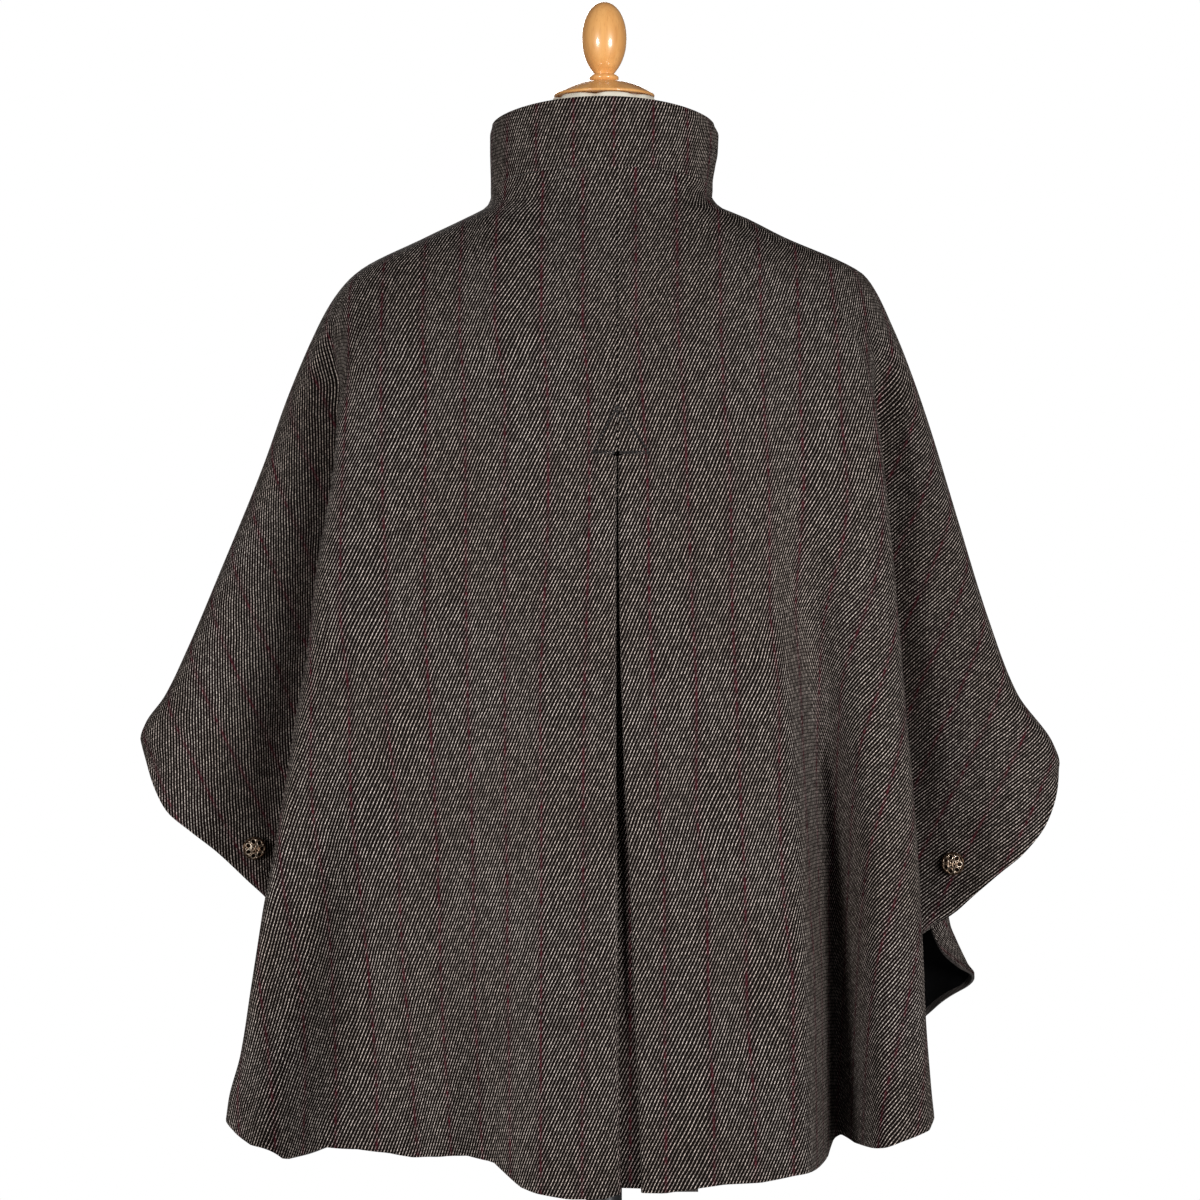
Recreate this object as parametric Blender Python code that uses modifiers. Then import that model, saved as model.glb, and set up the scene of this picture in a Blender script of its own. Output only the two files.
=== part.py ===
"""A wool cape coat on a limbless dress form with a turned neck cap, an egg finial and a round stand.

Metres, +Z up. The wearer faces -Y, so the coat's back faces +Y and the wearer's left is at +X.
The origin is the centre of the base's underside. The tables are in millimetres.

Every panel is a loft of level sections. A section runs from the centre of the back or the front,
over the body to its ridge, down into the gutter beside the body, out over the sleeve part and round
to the edge. Both halves of the coat are worked out at +X, and the right half is then mirrored.
"""

import math
from collections import namedtuple

import bmesh
import bpy
from mathutils import Matrix, Vector
from mathutils.bvhtree import BVHTree

MM = 0.001
WALL = 0.002              # wool cloth, with its lining bagged to it
LINING_WALL = 0.001
SEAM_GAP = 0.0003         # between pieces that are sewn together
SEAM_FLAT = 0.002         # last strip beside a seam, square to the seam's plane
REST_GAP = 0.0003         # between the cloth and the form that it rests on

NECK_Z = 1.439            # level seam between the panels and the collar
COLLAR_HEIGHT = 0.041     # at the sides; it stands higher at the back
PLEAT_TOP_Z = 1.222
PLEAT_OPENING = 0.005     # height over which the folded edges part below the top
HEM_Z = 0.700             # level that the hem's own tables are taken at

LIP_RADIUS = 0.0035       # folded edge of the pleat
RETURN_WIDTH = 0.038      # cloth folded under at each side of the pleat
RETURN_DEPTH = 2 * LIP_RADIUS
UNDERLAY_DROP = RETURN_DEPTH + 0.0014
UNDERLAY_ABOVE = 0.008    # how far it goes up behind the seam above the pleat
UNDERLAY_HEM_Z = 0.688

OVERLAP = 0.025           # each front passes the centre front by this much
UNDERLAP_SHIFT = 0.0028   # the under front lies this far behind the top one

PLACKET_HALF = OVERLAP + 0.004
FRONT_BODY_START = 0.042  # outside this the fronts follow the body's round section

# ---------------------------------------------------------------------------- tables

# Depth of the back's sections. cb: centre back. square: roundness of the section. fold: how far the
# cloth has folded into body, gutter and sleeve, from 0 to 1.
Depth = namedtuple("Depth", "z centre square fold ridge_y gutter_y sleeve_y")
BACK_DEPTH = (
    Depth(1439, 73.0, 2.0, 0.00, 40, 30, 20),
    Depth(1415, 76.5, 2.0, 0.00, 42, 30, 20),
    Depth(1393, 85.5, 2.1, 0.00, 50, 32, 24),
    Depth(1367, 98.0, 2.2, 0.00, 62, 36, 34),
    Depth(1335, 110, 2.3, 0.06, 72, 42, 42),
    Depth(1300, 119, 2.4, 0.40, 82, 44, 47),
    Depth(1260, 127, 2.5, 0.80, 88, 38, 46),
    Depth(1222, 132, 2.6, 0.95, 90, 32, 43),
    Depth(1175, 137, 2.7, 1.00, 92, 28, 41),
    Depth(1110, 144, 2.8, 1.00, 98, 24, 40),
    Depth(1040, 152, 2.8, 1.00, 106, 18, 38),
    Depth(985, 158, 2.8, 1.00, 112, 16, 35),
    Depth(930, 164, 2.8, 1.00, 117, 15, 29),
    Depth(897, 167, 2.8, 1.00, 119, 16, 25),
    Depth(878, 169, 2.8, 1.00, 120, 22, 22),
    Depth(850, 172, 2.8, 1.00, 121, 52, 36),
    Depth(770, 181, 2.8, 1.00, 121, 84, 66),
    Depth(660, 191, 2.8, 1.00, 118, 96, 82),
)

# Widths of each back, from the centre line. turn: heading of the section at its edge, in degrees
# from straight out (0) to straight forward (-90).
BackWidth = namedtuple("BackWidth", "z ridge gutter sleeve edge edge_y turn")
BACK_LEFT = (
    BackWidth(1439, 60, 70, 80, 88.3, 0, -90),
    BackWidth(1425, 60, 70, 80, 88.2, 0, -90),
    BackWidth(1417, 62, 72, 83, 91, 0, -90),
    BackWidth(1407, 70, 84, 98, 109, 0, -90),
    BackWidth(1391, 100, 118, 130, 141, 0, -90),
    BackWidth(1367, 160, 170, 180, 189, 0, -90),
    BackWidth(1357, 176, 186, 193, 200.5, 0, -90),
    BackWidth(1339, 188, 196, 205, 213.7, 0, -90),
    BackWidth(1311, 195, 200, 214, 227.8, 0, -90),
    BackWidth(1267, 200, 203, 226, 246.5, 0, -90),
    BackWidth(1215, 203.5, 206, 237, 265.2, 0, -90),
    BackWidth(1131, 217, 220, 262, 299.5, 0, -90),
    BackWidth(1072, 223, 226, 276, 324.5, 0, -90),
    BackWidth(1035, 229, 232, 288, 342.4, 0, -90),
    BackWidth(1014, 232.5, 236, 296, 357.2, 0, -90),
    BackWidth(1002, 234, 238, 299, 361.1, 0, -90),
    BackWidth(985, 236.5, 240, 300, 355.7, 12, -50),
    BackWidth(963, 240, 243, 300, 347, 24, -25),
    BackWidth(946, 243, 246, 297, 337, 28, -15),
    BackWidth(931, 245.5, 248, 288, 319, 28, -12),
    BackWidth(916, 248, 250, 278, 300, 26, -12),
    BackWidth(892, 252.5, 252, 264, 275, 22, -20),
    BackWidth(878, 255, 252, 256, 261, 18, -60),
    BackWidth(855, 258.5, 253, 249, 246, 20, -95),
    BackWidth(820, 264, 258, 252, 248, 32, -95),
    BackWidth(770, 272, 268, 262, 257, 50, -95),
    BackWidth(735, 281, 278, 272, 267, 64, -95),
    BackWidth(660, 288, 286, 280, 275, 72, -95),
)
BACK_RIGHT = (
    BackWidth(1439, 60, 70, 80, 84.8, 0, -90),
    BackWidth(1425, 60, 70, 80, 84.3, 0, -90),
    BackWidth(1416, 64, 74, 84, 90, 0, -90),
    BackWidth(1407, 72, 86, 100, 112, 0, -90),
    BackWidth(1391, 102, 120, 132, 142.7, 0, -90),
    BackWidth(1369, 160, 172, 182, 192.5, 0, -90),
    BackWidth(1363, 172, 182, 192, 202, 0, -90),
    BackWidth(1353, 180, 190, 200, 209.8, 0, -90),
    BackWidth(1322, 198, 200, 213, 224.6, 0, -90),
    BackWidth(1285, 204.5, 206, 224, 239.5, 0, -90),
    BackWidth(1245, 207.5, 209, 232, 253.5, 0, -90),
    BackWidth(1173, 215, 217, 248, 275.5, 0, -90),
    BackWidth(1094, 221.5, 224, 262, 300, 0, -90),
    BackWidth(1037, 225.5, 229, 274, 322.1, 0, -90),
    BackWidth(998, 228.5, 232, 284, 350, 0, -90),
    BackWidth(983, 230, 233, 288, 354.9, 0, -90),
    BackWidth(967, 231, 234, 290, 353, 10, -50),
    BackWidth(939, 233, 236, 288, 343.2, 24, -25),
    BackWidth(913, 234.5, 237, 282, 322.9, 28, -15),
    BackWidth(899, 235.2, 238, 274, 305.8, 28, -12),
    BackWidth(880, 236.2, 238, 263, 284, 26, -12),
    BackWidth(869, 236.7, 238, 256, 272.2, 24, -20),
    BackWidth(855, 237.4, 236, 244, 252, 20, -55),
    BackWidth(838, 238.2, 234, 233, 232, 20, -95),
    BackWidth(800, 239.7, 234, 230, 227, 34, -95),
    BackWidth(750, 243.5, 239, 234, 230, 52, -95),
    BackWidth(660, 252, 248, 243, 239, 66, -95),
)

# Folded edges of the pleat, both left of the centre plane. Above its top they are the centre seam.
Lip = namedtuple("Lip", "z left right")
LIPS = (
    Lip(1222, -9.3, -10.2),
    Lip(1100, -8.9, -11.3),
    Lip(985, -8.9, -14.6),
    Lip(897, -9.8, -18.9),
    Lip(810, -10.2, -21.8),
    Lip(750, -10.8, -24.3),
    Lip(660, -12.4, -26.9),
)
CENTRE_SEAM_X = -9.8

# Outline of the hem: height at each distance from the centre plane.
Hem = namedtuple("Hem", "x z")
HEM_BACK_LEFT = (
    Hem(-13, 680.5), Hem(0, 676), Hem(26, 677), Hem(50, 681), Hem(61, 685), Hem(70, 692.6),
    Hem(81, 697), Hem(100, 700), Hem(139, 699), Hem(192, 702), Hem(226, 696.5), Hem(239, 697),
    Hem(263, 706), Hem(284, 722),
)
HEM_BACK_RIGHT = (
    Hem(26, 680), Hem(43, 679.7), Hem(87, 684), Hem(113, 686), Hem(139, 691), Hem(161, 696),
    Hem(168, 703), Hem(174, 706), Hem(186, 701.7), Hem(197, 701.9), Hem(219, 708), Hem(242, 715),
    Hem(250, 726),
)
HEM_FRONT = ((0.0, 705), (0.35, 711), (0.7, 727), (1.0, 748), (2.0, 777), (3.0, 802), (4.0, 820))

# Troughs (+) and flutes (-) of the body, at a distance from the centre plane: depth and half-width.
Fold = namedtuple("Fold", "z x depth half_width")
SIDE_VALLEY_LEFT = (
    Fold(1020, 188, 0, 18), Fold(940, 195, 3, 18), Fold(858, 203, 8, 19), Fold(785, 214, 14, 20),
    Fold(660, 228, 20, 21),
)
HOLLOW_LEFT = (Fold(900, 92, 0, 24), Fold(800, 94, 4, 24), Fold(660, 98, 9, 24))
FLUTE_LEFT = (Fold(960, 20, 0, 34), Fold(850, 24, -3, 34), Fold(660, 34, -10, 32))
DEEP_VALLEY_RIGHT = (
    Fold(1235, 156, 0, 14), Fold(1185, 158, 5, 13), Fold(1073, 167, 17, 12), Fold(964, 172, 38, 11),
    Fold(888, 174, 58, 10.5), Fold(783, 175, 76, 10.5), Fold(660, 176, 96, 10.5),
)
SHOULDER_OF_VALLEY_RIGHT = (
    Fold(1235, 140, 0, 30), Fold(1073, 150, 7, 32), Fold(888, 156, 9, 30), Fold(660, 160, 6, 26),
)
BACK_FOLDS_LEFT = (SIDE_VALLEY_LEFT, HOLLOW_LEFT, FLUTE_LEFT)
BACK_FOLDS_RIGHT = (DEEP_VALLEY_RIGHT, SHOULDER_OF_VALLEY_RIGHT)

# The fronts, with forward counted as positive depth.
FRONT_DEPTH = (
    Depth(1439, 65.5, 2.0, 0.00, 38, 28, 20),
    Depth(1415, 69, 2.0, 0.00, 40, 30, 20),
    Depth(1393, 80, 2.1, 0.00, 48, 32, 24),
    Depth(1367, 98, 2.2, 0.00, 60, 36, 34),
    Depth(1335, 117, 2.3, 0.06, 74, 42, 42),
    Depth(1300, 130, 2.3, 0.40, 84, 44, 47),
    Depth(1260, 141, 2.4, 0.80, 92, 38, 46),
    Depth(1222, 148, 2.5, 0.95, 97, 32, 43),
    Depth(1175, 153, 2.5, 1.00, 100, 30, 41),
    Depth(1110, 158, 2.6, 1.00, 104, 26, 40),
    Depth(1040, 164, 2.6, 1.00, 109, 24, 38),
    Depth(985, 169, 2.6, 1.00, 113, 24, 35),
    Depth(930, 174, 2.6, 1.00, 117, 26, 32),
    Depth(890, 178, 2.6, 1.00, 120, 30, 28),
    Depth(856, 181, 2.6, 1.00, 121, 38, 26),
    Depth(820, 185, 2.6, 1.00, 122, 48, 26),
    Depth(780, 189, 2.6, 1.00, 123, 60, 34),
    Depth(700, 197, 2.6, 1.00, 124, 84, 60),
)
FrontWidth = BackWidth
FRONT_LEFT = (
    FrontWidth(1002, 232.5, 236, 297, 361.1, 0, -90),
    FrontWidth(985, 232.5, 236, 295, 352, 12, -50),
    FrontWidth(963, 232, 235, 292, 338, 26, -35),
    FrontWidth(946, 232, 235, 286, 324, 28, -35),
    FrontWidth(931, 231, 234, 278, 306, 22, -50),
    FrontWidth(915, 231, 234, 270, 287, 8, -75),
    FrontWidth(900, 231, 234, 262, 270, -4, -100),
    FrontWidth(885, 230, 233, 250, 256, -9, -115),
    FrontWidth(870, 229, 232, 244, 247, -10, -120),
    FrontWidth(856, 229, 231, 240, 241, -10, -120),
    FrontWidth(835, 228, 230, 238, 238, -8, -110),
    FrontWidth(820, 228, 230, 236, 236, -2, -95),
    FrontWidth(700, 232, 236, 242, 242, 0, -90),
)
FRONT_RIGHT = (
    FrontWidth(983, 228.5, 232, 287, 354.9, 0, -90),
    FrontWidth(967, 229, 233, 286, 348, 12, -50),
    FrontWidth(945, 229, 233, 282, 334, 26, -35),
    FrontWidth(928, 230, 233, 279, 318, 26, -40),
    FrontWidth(913, 230, 234, 276, 301, 18, -60),
    FrontWidth(901, 230, 234, 273, 286, 4, -90),
    FrontWidth(890, 230, 234, 268, 271, -7, -125),
    FrontWidth(880, 231, 235, 265, 260, -12, -145),
    FrontWidth(870, 231, 236, 264, 254, -14, -150),
    FrontWidth(856, 232, 239, 267, 254.5, -15, -150),
    FrontWidth(845, 233, 241, 272, 258.5, -14, -148),
    FrontWidth(835, 233, 243, 277, 265, -12, -140),
    FrontWidth(826, 234, 245, 281, 276, -7, -125),
    FrontWidth(818, 234, 247, 283, 287.5, -1, -110),
    FrontWidth(780, 236, 255, 276, 290, 0, -90),
    FrontWidth(700, 240, 258, 270, 290, 0, -90),
)

# Sections of the dress form: half-width and depths behind and before the neck's axis.
FormSection = namedtuple("FormSection", "z half back front square")
FORM_SECTIONS = (
    FormSection(1497.5, 41, 41, 41, 2.0),
    FormSection(1470, 43, 43, 43, 2.0),
    FormSection(1440, 48, 46, 47, 2.0),
    FormSection(1422, 58, 52, 54, 2.0),
    FormSection(1408, 88, 64, 63, 2.0),
    FormSection(1396, 122, 74, 72, 2.1),
    FormSection(1384, 156, 83, 81, 2.2),
    FormSection(1372, 180, 90, 89, 2.3),
    FormSection(1358, 189, 96, 97, 2.4),
    FormSection(1335, 190, 99, 104, 2.4),
    FormSection(1290, 188, 105, 122, 2.4),
    FormSection(1230, 178, 108, 134, 2.4),
    FormSection(1160, 158, 102, 126, 2.3),
    FormSection(1090, 134, 90, 102, 2.2),
    FormSection(1040, 126, 86, 94, 2.2),
    FormSection(980, 138, 94, 98, 2.2),
    FormSection(900, 162, 112, 108, 2.3),
    FormSection(840, 170, 116, 112, 2.3),
    FormSection(770, 164, 110, 108, 2.3),
    FormSection(742, 152, 100, 98, 2.3),
)
FORM_SIDES = 28

# Turned pieces: radius and height, from the foot up.
CAP_PROFILE = ((0, 1497.8), (36, 1497.8), (40.5, 1499.2), (38.5, 1503), (31.6, 1507.8),
               (22.2, 1512.3), (13, 1514), (0, 1514))
FINIAL_PROFILE = ((0, 1514.3), (10, 1514.3), (11.5, 1517), (9, 1519.6), (8.4, 1521), (12.4, 1527.5),
                  (16.2, 1537), (17.6, 1547.5), (16.6, 1558.5), (12.8, 1568.5), (7.2, 1574.3),
                  (0, 1576.4))
POLE_RADIUS = 0.014
POLE_FOOT_Z = 0.0363
POLE_TOP_Z = 0.7417
BASE_PROFILE = ((0, 0), (176, 0), (180, 4), (180, 10), (172, 14), (60, 18), (30, 22), (24, 36),
                (0, 36))

# ---------------------------------------------------------------------------- small tools


def column(table, name, z):
    """Value of one named column at height z, smooth, without overshoot, and level at the table's ends."""
    height = z / MM
    if height >= table[0].z:
        return getattr(table[0], name)
    if height <= table[-1].z:
        return getattr(table[-1], name)
    i = next(k for k in range(len(table) - 1) if table[k + 1].z <= height)
    values = [getattr(row, name) for row in table]
    steps = [upper.z - lower.z for upper, lower in zip(table, table[1:])]
    slopes = [(below - above) / step for above, below, step in zip(values, values[1:], steps)]

    def tangent(k):
        if k == 0 or k == len(table) - 1 or slopes[k - 1] * slopes[k] <= 0:
            return 0.0
        wide = 2 * steps[k] + steps[k - 1]
        narrow = steps[k] + 2 * steps[k - 1]
        return (wide + narrow) / (wide / slopes[k - 1] + narrow / slopes[k])

    t = (table[i].z - height) / steps[i]
    start = tangent(i) * steps[i]
    end = tangent(i + 1) * steps[i]
    return ((2 * t ** 3 - 3 * t ** 2 + 1) * values[i] + (t ** 3 - 2 * t ** 2 + t) * start
            + (3 * t ** 2 - 2 * t ** 3) * values[i + 1] + (t ** 3 - t ** 2) * end)


def straight(pairs, at):
    """Piecewise linear value of (place, value) pairs whose places rise."""
    if at <= pairs[0][0]:
        return pairs[0][1]
    for (x0, v0), (x1, v1) in zip(pairs, pairs[1:]):
        if at <= x1:
            return v0 + (v1 - v0) * (at - x0) / (x1 - x0)
    return pairs[-1][1]


def lerp(start, end, share):
    return start + (end - start) * share


def heading(degrees):
    return Vector((math.cos(math.radians(degrees)), math.sin(math.radians(degrees))))


def hermite(start, start_way, end, end_way, t):
    reach = (end - start).length
    return (start * (2 * t ** 3 - 3 * t ** 2 + 1) + start_way * reach * (t ** 3 - 2 * t ** 2 + t)
            + end * (3 * t ** 2 - 2 * t ** 3) + end_way * reach * (t ** 3 - t ** 2))


def round_depth(across, half, depth, square):
    """Depth of a superellipse at a distance across its half-width."""
    share = min(1.0, max(0.0, across / half))
    return depth * (1 - share ** square) ** (1 / square)


def fold_depth(folds, x, z):
    total = 0.0
    for fold in folds:
        centre, deep, half_width = (column(fold, name, z) * MM for name in ("x", "depth", "half_width"))
        total += deep * math.exp(-((x - centre) / half_width) ** 2)
    return total


# ---------------------------------------------------------------------------- sections of a panel

# A column of a panel is a place along its section. "body": share of the way from the centre to the
# ridge. "near fold": millimetres from the deep valley. "tail": 1 ridge, 2 gutter, 3 sleeve, 4 edge.
# share: where a column lies along the body of an unfolded section.
Place = namedtuple("Place", "kind at share")
RIDGE, GUTTER, SLEEVE, LAST_STRIP, EDGE = 1.0, 2.0, 3.0, 3.9, 4.0
BELL_BODY = 0.80          # part of an unfolded section's width that the body columns take
BELL_CROWDING = 0.8       # below 1, its other columns lie closer together near the edge
EDGE_PULL = 1.3           # how far a section keeps its edge's heading


def section_point(depth, width, centre_x, folds, place, z, start_x=None):
    """(x, depth) of one column of a section at height z. The body columns begin at start_x."""
    sizes = {name: column(depth, name, z) for name in Depth._fields[1:]}
    sizes.update({name: column(width, name, z) for name in BackWidth._fields[1:]})
    body_start = centre_x if start_x is None else start_x
    if place.kind == "tail":
        return tail_point(sizes, centre_x, folds, place.at, z)
    return body_point(sizes, centre_x, body_start, folds, place, z)


def body_point(sizes, centre_x, start_x, folds, place, z):
    """A point between the centre and the ridge: on a plain bell above, on the folded body below."""
    ridge = Vector((sizes["ridge"], sizes["ridge_y"])) * MM
    centre = sizes["centre"] * MM
    half = sizes["edge"] * MM - centre_x
    if place.kind == "near fold":
        folded_x = column(DEEP_VALLEY_RIGHT, "x", z) * MM + place.at * MM
    else:
        folded_x = start_x + place.at * (ridge.x - start_x)
    bell_x = start_x + place.share * (centre_x + BELL_BODY * half - start_x)
    bell = Vector((bell_x, round_depth(bell_x - centre_x, half, centre, sizes["square"])))
    rise = round_depth(folded_x - centre_x, ridge.x - centre_x, centre - ridge.y, sizes["square"])
    point = bell.lerp(Vector((folded_x, ridge.y + rise)), sizes["fold"])
    point.y -= fold_depth(folds, point.x, z)
    return point


def tail_point(sizes, centre_x, folds, at, z):
    """A point from the ridge (1) down into the gutter (2), out over the sleeve (3) and to the edge (4)."""
    ridge = Vector((sizes["ridge"], sizes["ridge_y"])) * MM
    gutter = Vector((sizes["gutter"], sizes["gutter_y"])) * MM
    sleeve = Vector((sizes["sleeve"], sizes["sleeve_y"])) * MM
    edge = Vector((sizes["edge"], sizes["edge_y"])) * MM
    edge_way = heading(sizes["turn"])
    if at >= EDGE:
        return edge
    last = edge - edge_way * SEAM_FLAT
    if at >= LAST_STRIP:
        bell = last
    else:
        bell = bell_beyond_body(sizes, centre_x, edge.x - centre_x, (at - RIDGE) / (LAST_STRIP - RIDGE))
    if at == RIDGE:
        folded = ridge - Vector((0, fold_depth(folds, ridge.x, z)))
    elif at < GUTTER:
        folded = hermite(ridge, heading(-90), gutter, gutter_way(gutter, sleeve), at - RIDGE)
    elif at < SLEEVE:
        folded = hermite(gutter, gutter_way(gutter, sleeve), sleeve, sleeve_way(sleeve, edge), at - GUTTER)
    else:
        share = (at - SLEEVE) / (LAST_STRIP - SLEEVE)
        folded = hermite(sleeve, sleeve_way(sleeve, edge), last, edge_way * EDGE_PULL, share)
    return bell.lerp(folded, sizes["fold"])


def bell_beyond_body(sizes, centre_x, half, share):
    """A point of the unfolded section, from the end of its body columns (0) to its last strip (1)."""
    centre, square = sizes["centre"] * MM, sizes["square"]
    body_end = round_depth(BELL_BODY * half, half, centre, square)
    y = SEAM_FLAT + (body_end - SEAM_FLAT) * (1 - share ** BELL_CROWDING)
    return Vector((centre_x + half * (1 - (y / centre) ** square) ** (1 / square), y))


def gutter_way(gutter, sleeve):
    """Heading of a section in its gutter: straight in where the sleeve part has ended."""
    return heading(-90) if gutter.x > sleeve.x else heading(-20)


def sleeve_way(sleeve, edge):
    """Heading of a section on the sleeve: half-way between straight out and the way to the edge."""
    to_edge = (edge - sleeve).normalized()
    half_way = heading(0) + to_edge
    return half_way.normalized() if half_way.length > 0.1 else to_edge


SKIRT_STEPS = 4           # rows of points from the end of the cuff down to the hem
TAIL = [Place("tail", at, 1.0)
        for at in (RIDGE, 1.4, 1.75, GUTTER, 2.35, 2.7, SLEEVE, 3.35, 3.65, LAST_STRIP, EDGE)]


def body_places(shares):
    return [Place("body", s, s) for s in shares]


BACK_BODY_LEFT = body_places((0.0, 0.035, 0.14, 0.30, 0.46, 0.62, 0.76, 0.86, 0.94, 0.985))
NEAR_VALLEY = [Place("near fold", *pair)
               for pair in ((-24, 0.53), (-13, 0.61), (-7, 0.66), (0, 0.71), (7, 0.76), (13, 0.81))]
BACK_BODY_RIGHT = (body_places((0.0, 0.035, 0.16, 0.32, 0.46)) + NEAR_VALLEY
                   + body_places((0.88, 0.95, 0.985)))
FRONT_BODY = body_places((0.0, 0.22, 0.45, 0.68, 0.85, 0.94, 0.985))


def levels(bands):
    """Heights from bands of (top, bottom, steps)."""
    heights = [bands[0][0]]
    for top, bottom, steps in bands:
        heights += [top + (bottom - top) * (k + 1) / steps for k in range(steps)]
    return heights


def panel_levels(tip_z, cuff_end_z):
    return levels((
        (NECK_Z, NECK_Z - SEAM_FLAT, 1),
        (NECK_Z - SEAM_FLAT, 1.417, 2),
        (1.417, 1.353, 4),
        (1.353, PLEAT_TOP_Z, 4),
        (PLEAT_TOP_Z, PLEAT_TOP_Z - PLEAT_OPENING, 1),
        (PLEAT_TOP_Z - PLEAT_OPENING, tip_z + 0.036, 4),
        (tip_z + 0.036, tip_z - 0.018, 4),
        (tip_z - 0.018, cuff_end_z, 6),
    ))


def loft(name, rows, skip=lambda row, col: False):
    """Open surface through rows of points, each row from the centre to the edge."""
    mesh = bpy.data.meshes.new(name)
    work = bmesh.new()
    verts = [[work.verts.new(point) for point in row] for row in rows]
    for i in range(len(rows) - 1):
        for j in range(len(rows[0]) - 1):
            if not skip(i, j):
                work.faces.new((verts[i][j], verts[i + 1][j], verts[i + 1][j + 1], verts[i][j + 1]))
    loose = [vert for vert in work.verts if not vert.link_faces]
    bmesh.ops.delete(work, geom=loose, context="VERTS")
    work.to_mesh(mesh)
    work.free()
    return mesh


def face_outward(mesh, outward):
    """Turns the whole surface if, on the whole, its faces look against the given directions."""
    work = bmesh.new()
    work.from_mesh(mesh)
    work.normal_update()
    facing = sum(face.calc_area() * face.normal.dot(outward(face.calc_center_median()))
                 for face in work.faces)
    if facing < 0:
        bmesh.ops.reverse_faces(work, faces=work.faces[:])
    work.to_mesh(mesh)
    work.free()


def moved_in(rows, distance, outward):
    """The same rows of points, each moved inward along the surface's normal."""
    mesh = loft("moved in", rows)
    face_outward(mesh, outward)
    columns = len(rows[0])
    places = [vert.co - vert.normal * distance for vert in mesh.vertices]
    bpy.data.meshes.remove(mesh)
    return [places[k:k + columns] for k in range(0, len(places), columns)]


# ---------------------------------------------------------------------------- materials and objects


def material(name, colour, roughness, metallic=0.0):
    made = bpy.data.materials.new(name)
    made.use_nodes = True
    shader = made.node_tree.nodes["Principled BSDF"]
    shader.inputs["Base Color"].default_value = (*colour, 1.0)
    shader.inputs["Roughness"].default_value = roughness
    shader.inputs["Metallic"].default_value = metallic
    return made


FINISHES = {
    "wool": ((0.070, 0.058, 0.052), 0.90, 0.0),
    "lining": ((0.008, 0.008, 0.009), 0.55, 0.0),
    "brass": ((0.28, 0.20, 0.10), 0.38, 1.0),
    "form cloth": ((0.72, 0.66, 0.55), 0.85, 0.0),
    "wood": ((0.66, 0.36, 0.13), 0.35, 0.0),
    "steel": ((0.03, 0.03, 0.032), 0.40, 0.6),
}


def add_object(name, mesh, finish):
    made = bpy.data.objects.new(name, mesh)
    colour, roughness, metallic = FINISHES[finish]
    mesh.materials.append(material(f"{name} {finish}", colour, roughness, metallic))
    PARTS.objects.link(made)
    return made


def shade_smooth(made, angle=50):
    for face in made.data.polygons:
        face.use_smooth = True
    made.data.set_sharp_from_angle(angle=math.radians(angle))


def cloth(name, mesh, finish="wool", wall=WALL):
    """A cloth piece: its outer surface given a wall on the inner side."""
    made = add_object(name, mesh, finish)
    solid = made.modifiers.new("Wall", "SOLIDIFY")
    solid.thickness = wall
    solid.offset = -1.0
    solid.use_even_offset = False
    shade_smooth(made)
    return made


def turned(name, profile, finish, sides, axis=Vector((0, 0, 0))):
    """A solid of revolution from a profile of (radius, height) that starts and ends on the axis."""
    mesh = bpy.data.meshes.new(name)
    points = [(radius * MM, 0.0, height * MM) for radius, height in reversed(profile)]
    mesh.from_pydata(points, [(k, k + 1) for k in range(len(points) - 1)], [])
    made = add_object(name, mesh, finish)
    made.location = axis
    screw = made.modifiers.new("Turned", "SCREW")
    screw.steps = sides
    screw.render_steps = sides
    screw.use_merge_vertices = True
    screw.merge_threshold = 0.00005
    screw.use_smooth_shade = True
    return made


# ---------------------------------------------------------------------------- back


def centre_line(side, z):
    """Distance of the centre seam or of the pleat's folded edge from the centre plane, as seen from
    the side: positive towards that side's arm."""
    sign = 1 if side == "left" else -1
    if z >= PLEAT_TOP_Z - 1e-6:
        return sign * CENTRE_SEAM_X * MM + SEAM_GAP / 2
    return sign * column(LIPS, side, z) * MM


def back_place(side, place, z):
    left = side == "left"
    width = BACK_LEFT if left else BACK_RIGHT
    folds = BACK_FOLDS_LEFT if left else BACK_FOLDS_RIGHT
    centre_x = centre_line(side, z)
    if z < PLEAT_TOP_Z - 1e-6:
        centre_x += LIP_RADIUS
    return section_point(BACK_DEPTH, width, centre_x, folds, place, z)


def back_hem(side, place):
    table = HEM_BACK_LEFT if side == "left" else HEM_BACK_RIGHT
    x = back_place(side, place, HEM_Z).x / MM
    if place.kind == "tail":
        return table[-1].z * MM + (place.at - 1) * 0.0012
    return straight(table, x) * MM


def back_row(side, z_of):
    """One row of a back: the return and the lip of the pleat, then body and tail."""
    body = BACK_BODY_LEFT if side == "left" else BACK_BODY_RIGHT
    row = []
    for place in body + TAIL:
        z = z_of(place)
        flat = back_place(side, place, z)
        row.append(Vector((flat.x, max(flat.y, SEAM_GAP / 2) if place == TAIL[-1] else flat.y, z)))
    first = row[0]
    lip = [first + Vector((-LIP_RADIUS * math.sin(a), LIP_RADIUS * (math.cos(a) - 1), 0))
           for a in (math.radians(45), math.radians(90), math.radians(135))]
    fold_under = []
    for reach in (0.0, RETURN_WIDTH / 2, RETURN_WIDTH):
        on_body = panel_depth_near_centre(side, first.x + reach, first.z)
        fold_under.append(Vector((first.x + reach, on_body - RETURN_DEPTH, first.z)))
    return fold_under[::-1] + lip[::-1] + row


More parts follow.
